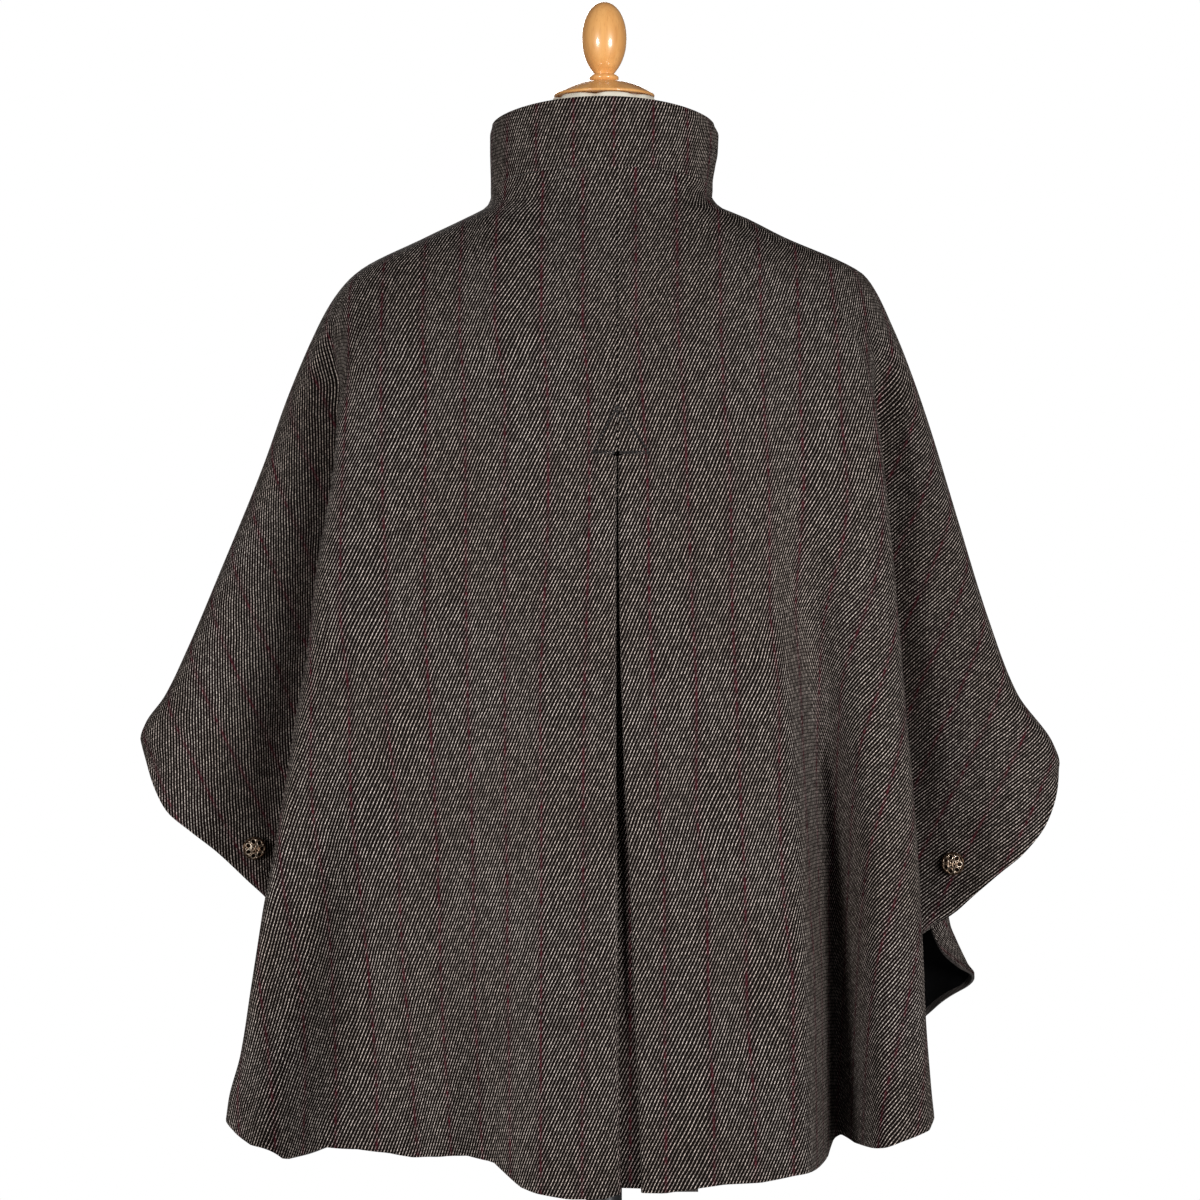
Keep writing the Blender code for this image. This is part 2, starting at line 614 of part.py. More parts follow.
def panel_depth_near_centre(side, x, z):
    """Depth of a back's outer face near the centre line."""
    width = BACK_LEFT if side == "left" else BACK_RIGHT
    folds = BACK_FOLDS_LEFT if side == "left" else BACK_FOLDS_RIGHT
    start = centre_line(side, z) + (LIP_RADIUS if z < PLEAT_TOP_Z - 1e-6 else 0)
    share = (x - start) / (column(width, "ridge", z) * MM - start)
    return section_point(BACK_DEPTH, width, start, folds, Place("body", share, share), z).y


LIP_COLUMNS = 6


def back_rows(side, tip_z, cuff_end_z):
    rows = [back_row(side, lambda place, z=z: z) for z in panel_levels(tip_z, cuff_end_z)]
    for k in range(1, SKIRT_STEPS + 1):
        share = k / SKIRT_STEPS
        rows.append(back_row(side, lambda place, s=share: lerp(cuff_end_z, back_hem(side, place), s)))
    return rows


def mirrored(rows):
    return [[Vector((-p.x, p.y, p.z)) for p in row] for row in rows]


def make_back(side, tip_z, cuff_end_z):
    rows = back_rows(side, tip_z, cuff_end_z)
    if side == "right":
        rows = mirrored(rows)
    top = [i for i, row in enumerate(rows) if row[LIP_COLUMNS].z >= PLEAT_TOP_Z - 1e-6][-1]
    mesh = loft(f"back_{side}", rows, skip=lambda i, j: j < LIP_COLUMNS and i <= top)
    face_outward(mesh, lambda place: Vector((0, 1, 0)))
    return cloth(f"back_{side}", mesh)


def make_underlay():
    """The strip behind the pleat, joined to the ends of both returns."""
    rows = []
    for z in levels(((PLEAT_TOP_Z + UNDERLAY_ABOVE, UNDERLAY_HEM_Z, 16),)):
        row = []
        for side, sign, reaches in (("right", -1, (1.0, 0.5, 0.0)), ("left", 1, (0.0, 0.5, 1.0))):
            for reach in reaches:
                x = centre_line(side, z) + LIP_RADIUS + reach * RETURN_WIDTH
                y = panel_depth_near_centre(side, x, z) - UNDERLAY_DROP
                row.append(Vector((sign * x, y, z)))
        rows.append(row)
    mesh = loft("pleat_underlay", rows)
    face_outward(mesh, lambda place: Vector((0, 1, 0)))
    return cloth("pleat_underlay", mesh)


# ---------------------------------------------------------------------------- front


def front_width(side):
    """The front shares the back's edge down to the sleeve's tip."""
    back = BACK_LEFT if side == "left" else BACK_RIGHT
    own = FRONT_LEFT if side == "left" else FRONT_RIGHT
    return tuple(row for row in back if row.z > own[0].z) + own


def front_place(side, place, z):
    return section_point(FRONT_DEPTH, FRONT_WIDTHS[side], 0.0, (), place, z, start_x=FRONT_BODY_START)


def front_row(side, z_of):
    """One row of a front: its overlap past the centre, then body and tail. Forward is -Y."""
    row = []
    shift = UNDERLAP_SHIFT if side == "left" else 0.0
    z = z_of(FRONT_BODY[0])
    for x in (-OVERLAP, 0.0, PLACKET_HALF):
        row.append(Vector((x, -(column(FRONT_DEPTH, "centre", z) * MM - shift), z)))
    for place in FRONT_BODY + TAIL:
        z = z_of(place)
        flat = front_place(side, place, z)
        y = -flat.y
        if place == TAIL[-1] and abs(flat.y) < SEAM_GAP:
            y = -SEAM_GAP / 2
        row.append(Vector((flat.x, y, z)))
    return row


def front_hem(place):
    return straight(HEM_FRONT, place.at) * MM


def front_rows(side, tip_z, cuff_end_z):
    rows = [front_row(side, lambda place, z=z: z) for z in panel_levels(tip_z, cuff_end_z)]
    for k in range(1, SKIRT_STEPS + 1):
        share = k / SKIRT_STEPS
        rows.append(front_row(side, lambda place, s=share: lerp(cuff_end_z, front_hem(place), s)))
    return rows


def make_front(side, tip_z, cuff_end_z):
    rows = front_rows(side, tip_z, cuff_end_z)
    if side == "right":
        rows = mirrored(rows)
    mesh = loft(f"front_{side}", rows)
    face_outward(mesh, lambda place: Vector((0, -1, 0)))
    return cloth(f"front_{side}", mesh)


LINING_TOP_Z = 1.10
LINING_STOP = 0.75        # how far the lining goes from the last row above the hem to the hem
LINING_FIRST_COLUMN = 6


def make_front_lining(tip_z, cuff_end_z):
    """The black lining inside the right front, from below the chest to just above the hem."""
    rows = mirrored(front_rows("right", tip_z, cuff_end_z))
    rows = moved_in(rows, WALL + 2 * SEAM_GAP, lambda place: Vector((0, -1, 0)))
    rows[-1] = [above.lerp(hem, LINING_STOP) for above, hem in zip(rows[-2], rows[-1])]
    rows = [row[LINING_FIRST_COLUMN:-2] for row in rows if row[0].z < LINING_TOP_Z]
    mesh = loft("front_lining_right", rows)
    face_outward(mesh, lambda place: Vector((0, -1, 0)))
    return cloth("front_lining_right", mesh, "lining", LINING_WALL)


# ---------------------------------------------------------------------------- collar

# Radii of the collar's level rings: depth behind and before, and half-width at each side.
Ring = namedtuple("Ring", "share back front left right")
COLLAR_RINGS = (
    Ring(0.0, 73.0, 65.5, 88.3, 84.8),
    Ring(0.05, 73.0, 65.5, 88.3, 84.8),
    Ring(0.30, 74.5, 66.5, 88.6, 86.8),
    Ring(0.55, 76.5, 67.5, 88.9, 89.2),
    Ring(0.80, 78.5, 68.0, 88.9, 89.6),
    Ring(1.0, 79.5, 68.0, 87.2, 86.0),
)
COLLAR_RISE_BACK = 0.012
COLLAR_RISE_FRONT = -0.004
COLLAR_START = math.radians(30)   # the lapped ends are flat nearer the centre front than this
COLLAR_STEPS = 30


def collar_point(ring, angle, z_foot):
    """Angle runs from the centre front (0) round by the wearer's left to the centre front again."""
    across = math.sin(angle)
    along = -math.cos(angle)
    half = ring.left if across > 0 else ring.right
    depth = ring.back if along > 0 else ring.front
    rise = COLLAR_RISE_BACK if along > 0 else COLLAR_RISE_FRONT
    top = COLLAR_HEIGHT + rise * abs(along) ** 1.5
    return Vector((half * MM * across, depth * MM * along, z_foot + top * ring.share))


def make_collar():
    foot = NECK_Z + SEAM_GAP
    rows = []
    for ring in reversed(COLLAR_RINGS):
        row = []
        start = collar_point(ring, 0.0, foot)
        for x in (-OVERLAP, 0.0, PLACKET_HALF):
            row.append(Vector((x, start.y + UNDERLAP_SHIFT, start.z)))
        for k in range(COLLAR_STEPS + 1):
            angle = COLLAR_START + (2 * math.pi - 2 * COLLAR_START) * k / COLLAR_STEPS
            row.append(collar_point(ring, angle, foot))
        for x in (-PLACKET_HALF, 0.0, OVERLAP):
            row.append(Vector((x, start.y, start.z)))
        rows.append(row)
    mesh = loft("collar", rows)
    face_outward(mesh, lambda place: Vector((place.x, place.y, 0)))
    return cloth("collar", mesh)


# ---------------------------------------------------------------------------- buttons

BUTTON_PROFILE = ((0, 0), (2.0, 0), (2.0, 3.4), (8.0, 3.6), (9.0, 4.6), (7.2, 7.0), (3.8, 8.4), (0, 8.8))
BUTTON_SIDES = 12
BUTTON_FOOT = 0.0022      # radius in which the cloth must lie below the shank
FRONT_BUTTON_Z = (1.375, 1.285, 1.195, 1.105)
SLEEVE_BUTTONS = (("left", 0.2665, 0.9175), ("right", -0.2675, 0.9065))


def surface_of(made):
    """Search tree of the outer surface that a cloth piece is made from."""
    return BVHTree.FromPolygons([v.co.copy() for v in made.data.vertices],
                                [tuple(face.vertices) for face in made.data.polygons])


def make_button(name, made, x, z, way):
    """A button just off a panel, found by looking at the panel along the given direction."""
    tree = surface_of(made)
    place, normal, _, _ = tree.ray_cast(Vector((x, -way.y, z)), way)
    if normal.dot(way) > 0:
        normal = -normal
    button = turned(name, BUTTON_PROFILE, "brass", BUTTON_SIDES)
    turn = normal.to_track_quat("Z", "Y").to_matrix()
    above = 0.0
    for k in range(BUTTON_SIDES):
        angle = 2 * math.pi * k / BUTTON_SIDES
        foot = turn @ Vector((BUTTON_FOOT * math.cos(angle), BUTTON_FOOT * math.sin(angle), 0))
        hit, _, _, _ = tree.ray_cast(place + foot + normal * BUTTON_FOOT, -normal)
        if hit is not None:
            above = max(above, (hit - place).dot(normal))
    button.matrix_world = Matrix.Translation(place + normal * (above + SEAM_GAP)) @ turn.to_4x4()
    return button


# ---------------------------------------------------------------------------- dress form and stand


def make_form(panels):
    """The torso, eased so that it lies just inside the cloth that rests on it."""
    rings = []
    for section in FORM_SECTIONS:
        ring = []
        for k in range(FORM_SIDES):
            angle = 2 * math.pi * k / FORM_SIDES
            power = 2 / section.square
            across = math.copysign(abs(math.sin(angle)) ** power, math.sin(angle))
            along = math.copysign(abs(math.cos(angle)) ** power, math.cos(angle))
            depth = section.back if along > 0 else section.front
            ring.append(Vector((section.half * across, depth * along, section.z)) * MM)
        rings.append(ring)
    trees = [surface_of(panel) for panel in panels]
    clear = WALL + REST_GAP
    for ring in rings:
        for point in ring:
            for tree in trees:
                place, normal, _, _ = tree.find_nearest(point)
                inside = (place - point).dot(normal)
                if inside < clear and (place - point).length < 0.02:
                    point -= normal * (clear - inside)
    mesh = bpy.data.meshes.new("form_torso")
    work = bmesh.new()
    verts = [[work.verts.new(point) for point in ring] for ring in rings]
    for upper, lower in zip(verts, verts[1:]):
        for k in range(FORM_SIDES):
            n = (k + 1) % FORM_SIDES
            work.faces.new((upper[k], lower[k], lower[n], upper[n]))
    work.faces.new(verts[0])
    work.faces.new(list(reversed(verts[-1])))
    bmesh.ops.recalc_face_normals(work, faces=work.faces[:])
    work.to_mesh(mesh)
    work.free()
    torso = add_object("form_torso", mesh, "form cloth")
    shade_smooth(torso)
    return torso


def make_pole():
    bpy.ops.mesh.primitive_cylinder_add(vertices=24, radius=POLE_RADIUS, depth=POLE_TOP_Z - POLE_FOOT_Z,
                                        location=(0, 0, (POLE_TOP_Z + POLE_FOOT_Z) / 2))
    pole = bpy.context.object
    pole.name = "stand_pole"
    pole.data.materials.append(material("stand_pole steel", *FINISHES["steel"]))
    for collection in list(pole.users_collection):
        collection.objects.unlink(pole)
    PARTS.objects.link(pole)
    shade_smooth(pole)
    return pole


# ---------------------------------------------------------------------------- build

for old in list(bpy.data.objects):
    bpy.data.objects.remove(old, do_unlink=True)

PARTS = bpy.data.collections.new("wool cape coat on a dress form")
bpy.context.scene.collection.children.link(PARTS)
FRONT_WIDTHS = {side: front_width(side) for side in ("left", "right")}

LEFT_TIP_Z, LEFT_CUFF_END_Z = 1.002, 0.878
RIGHT_TIP_Z, RIGHT_CUFF_END_Z = 0.983, 0.855

back_left = make_back("left", LEFT_TIP_Z, LEFT_CUFF_END_Z)
back_right = make_back("right", RIGHT_TIP_Z, RIGHT_CUFF_END_Z)
make_underlay()
front_left = make_front("left", LEFT_TIP_Z, LEFT_CUFF_END_Z)
front_right = make_front("right", RIGHT_TIP_Z, RIGHT_CUFF_END_Z)
make_front_lining(RIGHT_TIP_Z, RIGHT_CUFF_END_Z)
collar = make_collar()

for side, x, z in SLEEVE_BUTTONS:
    panel = back_left if side == "left" else back_right
    make_button(f"sleeve_button_{side}", panel, x, z, Vector((0, -1, 0)))
make_button("collar_button", collar, 0.0, NECK_Z + 0.022, Vector((0, 1, 0)))
for k, z in enumerate(FRONT_BUTTON_Z):
    make_button(f"front_button_{k + 1}", front_right, 0.0, z, Vector((0, 1, 0)))

make_form((back_left, back_right, front_left, front_right))
turned("form_neck_cap", CAP_PROFILE, "wood", 36)
turned("form_finial", FINIAL_PROFILE, "wood", 24)
make_pole()
turned("stand_base", BASE_PROFILE, "steel", 40)
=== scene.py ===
"""Looks of a wool cape coat on a dress form: cloth shells, lining, sewing, buttons and turned wood.

Metres, +Z up. The wearer faces -Y, the coat's back faces +Y and the wearer's left is at +X. The tables are
in millimetres. Every cloth panel is worked out at +X as level sections, from the centre of the back or the
front, over the body to its ridge, down into the gutter beside the body, out over the sleeve part and round
to the edge. The right half is then mirrored. Points of a section are complex numbers: distance from the
centre plane, and depth.
"""

import math
from collections import namedtuple
from types import SimpleNamespace

import bmesh
import bpy
import numpy as np
from mathutils import Matrix, Vector
from mathutils.bvhtree import BVHTree


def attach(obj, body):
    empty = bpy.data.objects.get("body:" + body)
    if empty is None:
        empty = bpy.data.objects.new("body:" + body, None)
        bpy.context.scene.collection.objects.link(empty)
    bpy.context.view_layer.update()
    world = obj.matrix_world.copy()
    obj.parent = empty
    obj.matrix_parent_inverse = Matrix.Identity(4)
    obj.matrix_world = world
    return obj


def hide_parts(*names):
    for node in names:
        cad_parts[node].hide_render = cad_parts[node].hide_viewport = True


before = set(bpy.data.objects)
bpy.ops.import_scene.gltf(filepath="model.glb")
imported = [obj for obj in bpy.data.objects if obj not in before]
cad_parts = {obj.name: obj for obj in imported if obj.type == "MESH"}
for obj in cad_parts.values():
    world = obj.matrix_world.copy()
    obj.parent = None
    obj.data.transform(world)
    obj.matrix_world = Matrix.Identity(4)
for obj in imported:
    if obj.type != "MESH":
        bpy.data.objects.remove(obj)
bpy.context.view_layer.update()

SIDES = ("left", "right")
MM = 0.001
WALL = 0.002              # wool cloth, with its lining bagged to it
LINING_WALL = 0.001
SEAM_GAP = 0.0003
SEAM_CLOSE = 0.00002      # half the gap that is left at a sewn seam
SEAM_FLAT = 0.002         # last strip beside a seam, square to the seam's plane

NECK_Z = 1.439            # seam between the panels and the collar
NECK_DIP = 0.008          # the seam lies this much lower at the sides
NECK_DIP_ENDS = 1.420     # below this height the panels' rows are level again
COLLAR_HEIGHT = 0.041
PLEAT_TOP_Z = 1.222
PLEAT_OPENING = 0.005
HEM_Z = 0.700
LIP_RADIUS = 0.0035       # folded edge of the pleat
RETURN_WIDTH = 0.038
RETURN_DEPTH = 2 * LIP_RADIUS
UNDERLAY_DROP = RETURN_DEPTH + 0.0014
UNDERLAY_ABOVE = 0.008
UNDERLAY_HEM_Z = 0.6815

OVERLAP = 0.025
UNDERLAP_SHIFT = 0.0028
PLACKET_HALF = OVERLAP + 0.004
FRONT_BODY_START = 0.042

ROW_PITCH = 0.0036        # spacing of the shells' rows
UNDERLAY_PITCH = 0.006
SKIRT_ROWS = 52           # rows from the end of the cuff to the hem
SAME_LEVEL = 1e-6
TO_BACK = np.array([0, 1, 0])
TO_FRONT = np.array([0, -1, 0])
STRIPE_PITCH = 0.031

# ---------------------------------------------------------------------------- tables of the cut


def table(kind, *rows):
    """Rows whose values are called by their names."""
    return tuple(kind(*row) for row in rows)


# Depth of the back's sections. fold: how far the cloth has folded into body, gutter and sleeve.
Depth = namedtuple("Depth", "z centre square fold ridge_y gutter_y sleeve_y")
BACK_DEPTH = table(
    Depth,
    (1439, 73.0, 2.0, 0.00, 40, 30, 20),
    (1415, 76.5, 2.0, 0.00, 42, 30, 20),
    (1393, 85.5, 2.1, 0.00, 50, 32, 24),
    (1367, 98.0, 2.2, 0.00, 62, 36, 34),
    (1335, 110, 2.3, 0.06, 72, 42, 42),
    (1300, 119, 2.4, 0.40, 82, 44, 47),
    (1260, 127, 2.5, 0.80, 88, 38, 46),
    (1222, 132, 2.6, 0.95, 90, 32, 43),
    (1175, 137, 2.7, 1.00, 92, 28, 41),
    (1110, 144, 2.8, 1.00, 98, 24, 40),
    (1040, 152, 2.8, 1.00, 106, 18, 38),
    (985, 158, 2.8, 1.00, 112, 16, 35),
    (930, 164, 2.8, 1.00, 117, 15, 29),
    (897, 167, 2.8, 1.00, 119, 16, 25),
    (878, 169, 2.8, 1.00, 120, 22, 22),
    (850, 172, 2.8, 1.00, 121, 52, 36),
    (770, 181, 2.8, 1.00, 121, 84, 66),
    (660, 191, 2.8, 1.00, 118, 96, 82),
)

# Widths from the centre line. turn: heading of the section at its edge, in degrees.
Width = namedtuple("Width", "z ridge gutter sleeve edge edge_y turn", defaults=(0, -90))
BACK_LEFT = table(
    Width,
    (1439, 60, 70, 80, 88.3),
    (1425, 60, 70, 80, 88.2),
    (1417, 62, 72, 83, 91),
    (1407, 70, 84, 98, 109),
    (1391, 100, 118, 130, 141),
    (1367, 160, 170, 180, 189),
    (1357, 176, 186, 193, 200.5),
    (1339, 188, 196, 205, 213.7),
    (1311, 195, 200, 214, 227.8),
    (1267, 200, 203, 226, 246.5),
    (1215, 203.5, 206, 237, 265.2),
    (1131, 217, 220, 262, 299.5),
    (1072, 223, 226, 276, 324.5),
    (1035, 229, 232, 288, 342.4),
    (1014, 232.5, 236, 296, 357.2),
    (1002, 234, 238, 299, 361.1),
    (985, 236.5, 240, 300, 355.7, 12, -50),
    (963, 240, 243, 300, 347, 24, -25),
    (946, 243, 246, 297, 337, 28, -15),
    (931, 245.5, 248, 288, 319, 28, -12),
    (916, 248, 250, 278, 300, 26, -12),
    (892, 252.5, 252, 264, 275, 22, -20),
    (878, 255, 252, 256, 261, 18, -60),
    (855, 258.5, 253, 249, 246, 20, -95),
    (820, 264, 258, 252, 248, 32, -95),
    (770, 272, 268, 262, 257, 50, -95),
    (735, 281, 278, 272, 267, 64, -95),
    (660, 288, 286, 280, 275, 72, -95),
)
BACK_RIGHT = table(
    Width,
    (1439, 60, 70, 80, 84.8),
    (1425, 60, 70, 80, 84.3),
    (1416, 64, 74, 84, 90),
    (1407, 72, 86, 100, 112),
    (1391, 102, 120, 132, 142.7),
    (1369, 160, 172, 182, 192.5),
    (1363, 172, 182, 192, 202),
    (1353, 180, 190, 200, 209.8),
    (1322, 198, 200, 213, 224.6),
    (1285, 204.5, 206, 224, 239.5),
    (1245, 207.5, 209, 232, 253.5),
    (1173, 215, 217, 248, 275.5),
    (1094, 221.5, 224, 262, 300),
    (1037, 225.5, 229, 274, 322.1),
    (998, 228.5, 232, 284, 350),
    (983, 230, 233, 288, 354.9),
    (967, 231, 234, 290, 353, 10, -50),
    (939, 233, 236, 288, 343.2, 24, -25),
    (913, 234.5, 237, 282, 322.9, 28, -15),
    (899, 235.2, 238, 274, 305.8, 28, -12),
    (880, 236.2, 238, 263, 284, 26, -12),
    (869, 236.7, 238, 256, 272.2, 24, -20),
    (855, 237.4, 236, 244, 252, 20, -55),
    (838, 238.2, 234, 233, 232, 20, -95),
    (800, 239.7, 234, 230, 227, 34, -95),
    (750, 243.5, 239, 234, 230, 52, -95),
    (660, 252, 248, 243, 239, 66, -95),
)

# Folded edges of the pleat, from the centre plane. Above its top they are the centre seam.
Lip = namedtuple("Lip", "z left right")
LIPS = table(
    Lip,
    (1222, -9.3, -10.2), (1100, -8.9, -11.3), (985, -8.9, -14.6), (897, -9.8, -18.9),
    (810, -10.2, -21.8), (750, -10.8, -24.3), (660, -12.4, -26.9),
)
CENTRE_SEAM_X = -9.8

Hem = namedtuple("Hem", "x z")
HEM_BACK_LEFT = table(
    Hem,
    (-13, 680.5), (0, 676), (26, 677), (50, 681), (61, 685), (70, 692.6),
    (81, 702), (100, 704), (122, 700), (139, 701), (158, 707), (180, 710),
    (205, 710), (221, 701), (239, 691), (263, 702), (284, 722),
)
HEM_BACK_RIGHT = table(
    Hem,
    (26, 680), (43, 679.7), (87, 686), (113, 687), (139, 691), (167, 692),
    (174, 702), (180, 705), (188, 703), (199, 706), (219, 713), (242, 719),
    (250, 729),
)
HEM_BACK = {"left": HEM_BACK_LEFT, "right": HEM_BACK_RIGHT}
# The front's hem, at each place along its section: 1 ridge, 2 gutter, 3 sleeve, 4 edge.
HEM_FRONT = table(
    Hem,
    (0.0, 705), (0.35, 711), (0.7, 727), (1.0, 748), (2.0, 777), (3.0, 802), (4.0, 820),
)

# Troughs (+) and flutes (-) of the body, at a distance from the centre plane: depth and half-width.
Fold = namedtuple("Fold", "z x depth half_width")
SIDE_VALLEY_LEFT = table(
    Fold,
    (1020, 202, 0, 26), (960, 208, 10, 26), (900, 216, 30, 26), (858, 221, 46, 26),
    (785, 232, 58, 27), (660, 250, 66, 28),
)
HOLLOW_LEFT = table(Fold, (900, 112, 0, 26), (800, 118, 18, 26), (660, 124, 36, 27))
FLUTE_LEFT = table(Fold, (960, 20, 0, 34), (850, 24, -3, 34), (660, 34, -10, 32))
DEEP_VALLEY_RIGHT = table(
    Fold,
    (1235, 146, 0, 18), (1185, 148, 5, 18), (1130, 150, 14, 20), (1073, 156, 28, 21),
    (1010, 164, 45, 20), (964, 168, 58, 19), (888, 173, 72, 18), (783, 176, 88, 17.5),
    (660, 178, 104, 17.5),
)
SHOULDER_OF_VALLEY_RIGHT = table(
    Fold,
    (1235, 136, 0, 30), (1073, 144, 7, 32), (888, 148, 9, 30), (660, 152, 6, 26),
)
BACK_FOLDS = {"left": (SIDE_VALLEY_LEFT, HOLLOW_LEFT, FLUTE_LEFT),
              "right": (DEEP_VALLEY_RIGHT, SHOULDER_OF_VALLEY_RIGHT)}

# How far the cloth is tucked in along each gutter: under the body's ridge, and deeper.
Tuck = namedtuple("Tuck", "z under deeper")
TUCK_LEFT = table(
    Tuck,
    (1325, 0, 0), (1285, 8, 2), (1230, 12, 2), (1110, 9, 0), (1000, 2, -1), (930, 4, 0), (890, 2, 0),
    (870, 0, 0),
)
TUCK_RIGHT = table(
    Tuck,
    (1290, 0, 0), (1220, 7, -2), (1130, 10, -3), (1030, 12, 0), (930, 11, 3), (885, 3, 2), (860, 0, 0),
)
TUCKS = {"left": TUCK_LEFT, "right": TUCK_RIGHT}
Lift = namedtuple("Lift", "z lift")
LIFT_LEFT = table(Lift, (1270, 0), (1200, 5), (1110, 11), (1000, 11), (930, 5), (890, 0))
LIFT_RIGHT = table(Lift, (1230, 0), (1140, 5), (1060, 11), (985, 12), (925, 4), (885, 0))
LIFTS = {"left": LIFT_LEFT, "right": LIFT_RIGHT}
LIFT_AT = 2.5             # where the slope beyond the gutter comes forward
LIFT_SPREAD = 0.28
TUCK_AT = 2.1             # between the gutter's line and the sleeve
TUCK_SPREAD = 0.3

FRONT_DEPTH = table(
    Depth,
    (1439, 65.5, 2.0, 0.00, 38, 28, 20),
    (1415, 69, 2.0, 0.00, 40, 30, 20),
    (1393, 80, 2.1, 0.00, 48, 32, 24),
    (1367, 98, 2.2, 0.00, 60, 36, 34),
    (1335, 117, 2.3, 0.06, 74, 42, 42),
    (1300, 130, 2.3, 0.40, 84, 44, 47),
    (1260, 141, 2.4, 0.80, 92, 38, 46),
    (1222, 148, 2.5, 0.95, 97, 32, 43),
    (1175, 153, 2.5, 1.00, 100, 30, 41),
    (1110, 158, 2.6, 1.00, 104, 26, 40),
    (1040, 164, 2.6, 1.00, 109, 24, 38),
    (985, 169, 2.6, 1.00, 113, 24, 35),
    (930, 174, 2.6, 1.00, 117, 26, 32),
    (890, 178, 2.6, 1.00, 120, 30, 28),
    (856, 181, 2.6, 1.00, 121, 38, 26),
    (820, 185, 2.6, 1.00, 122, 48, 26),
    (780, 189, 2.6, 1.00, 123, 60, 34),
    (700, 197, 2.6, 1.00, 124, 84, 60),
)
FRONT_LEFT = table(
    Width,
    (1002, 232.5, 236, 297, 361.1),
    (985, 232.5, 236, 295, 352, 12, -50),
    (963, 232, 235, 292, 338, 26, -35),
    (946, 232, 235, 286, 324, 28, -35),
    (931, 231, 234, 278, 306, 22, -50),
    (915, 231, 234, 270, 287, 8, -75),
    (900, 231, 234, 262, 270, -4, -100),
    (885, 230, 233, 250, 256, -9, -115),
    (870, 229, 232, 244, 247, -10, -120),
    (856, 229, 231, 240, 241, -10, -120),
    (835, 228, 230, 238, 238, -8, -110),
    (820, 228, 230, 236, 236, -2, -95),
    (700, 232, 236, 242, 242),
)
FRONT_RIGHT = table(
    Width,
    (983, 228.5, 232, 287, 354.9),
    (967, 229, 233, 286, 348, 12, -50),
    (945, 229, 233, 282, 334, 26, -35),
    (928, 230, 233, 279, 318, 26, -40),
    (913, 230, 234, 276, 301, 18, -60),
    (901, 230, 234, 273, 286, 4, -90),
    (890, 230, 234, 268, 271, -7, -125),
    (880, 231, 235, 265, 260, -12, -145),
    (870, 231, 236, 264, 254, -14, -150),
    (856, 232, 239, 267, 254.5, -15, -150),
    (845, 233, 241, 272, 258.5, -14, -148),
    (835, 233, 243, 277, 265, -12, -140),
    (826, 234, 245, 281, 276, -7, -125),
    (818, 234, 247, 283, 287.5, -1, -110),
    (780, 236, 255, 276, 290),
    (700, 240, 258, 270, 290),
)
BACK_WIDTHS = {"left": BACK_LEFT, "right": BACK_RIGHT}
FRONT_WIDTHS = {
    "left": tuple(row for row in BACK_LEFT if row.z > FRONT_LEFT[0].z) + FRONT_LEFT,
    "right": tuple(row for row in BACK_RIGHT if row.z > FRONT_RIGHT[0].z) + FRONT_RIGHT,
}
Cuff = namedtuple("Cuff", "tip_z end_z")
CUFFS = {"left": Cuff(1.002, 0.878), "right": Cuff(0.983, 0.855)}

# Collar: radii of its level rings behind and before, and half-widths at each side.
Ring = namedtuple("Ring", "z back front left right")
COLLAR_RINGS = table(
    Ring,
    (1000, 79.5, 68.0, 87.2, 86.0), (800, 78.5, 68.0, 88.9, 89.6), (550, 76.5, 67.5, 88.9, 89.2),
    (300, 74.5, 66.5, 88.6, 86.8), (50, 73.0, 65.5, 88.3, 84.8), (0, 73.0, 65.5, 88.3, 84.8),
)
COLLAR_RISE_BACK = 0.012
COLLAR_RISE_FRONT = -0.004
COLLAR_START = math.radians(30)

# Where the pinstripes of the backs run, from the centre plane, counted outwards: seven at the left, and
# five at the right, up to its deep valley.
Stripes = namedtuple("Stripes", "z first second third fourth fifth sixth seventh", defaults=(0, 0))
STRIPES_LEFT = table(
    Stripes,
    (1332, 16.3, 47.3, 82.8, 109, 137, 168.5, 195),
    (1258, 11.8, 42.1, 73.9, 104, 133, 167, 194),
    (1184, 11.1, 41.4, 73.9, 102.7, 133, 165, 196.6),
    (1110, 12.6, 44.3, 73.9, 102, 133, 161, 196.6),
    (1036, 14.8, 47.3, 73.2, 100.5, 129, 161, 189),
    (964, 15.4, 46.2, 72.6, 96.8, 124.6, 153, 187),
    (891, 15.4, 46.2, 70.4, 89.4, 121, 150, 179),
    (818, 16.1, 46.2, 66, 87, 116.5, 146, 171.5),
    (715, 16.1, 46.2, 66, 81.4, 110, 136, 165.7),
)
STRIPES_RIGHT = table(
    Stripes,
    (1332, 23.6, 54.7, 87.2, 117.5, 146.3),
    (1258, 28.8, 59.1, 89.4, 119, 146.3),
    (1184, 32.5, 62.1, 93.9, 122.7, 146.3),
    (1110, 33.3, 65, 94.6, 122.7, 146.3),
    (1036, 37, 68, 97.5, 129.3, 154.5),
    (964, 39.6, 67.4, 100.4, 129, 154.7),
    (891, 44, 74.8, 103.4, 132, 153.2),
    (818, 44, 76.2, 104, 138.5, 159.8),
    (715, 44.7, 79.9, 110, 137.8, 159.8),
)
STRIPES = {"left": (STRIPES_LEFT, 7), "right": (STRIPES_RIGHT, 5)}
STRIPES_FROM_Z = 1.32     # above this they run straight up

# Turn of the cloth on each sleeve, round the top of the gutter.
SLEEVE_TURN = math.radians(27)
SLEEVE_PIVOT = (0.2, 1.30)
SLEEVE_TURN_ENDS = (1.245, 1.355)
FLUTE_TURN = math.radians(20)
FLUTE_PIVOT = (0.165, 1.20)

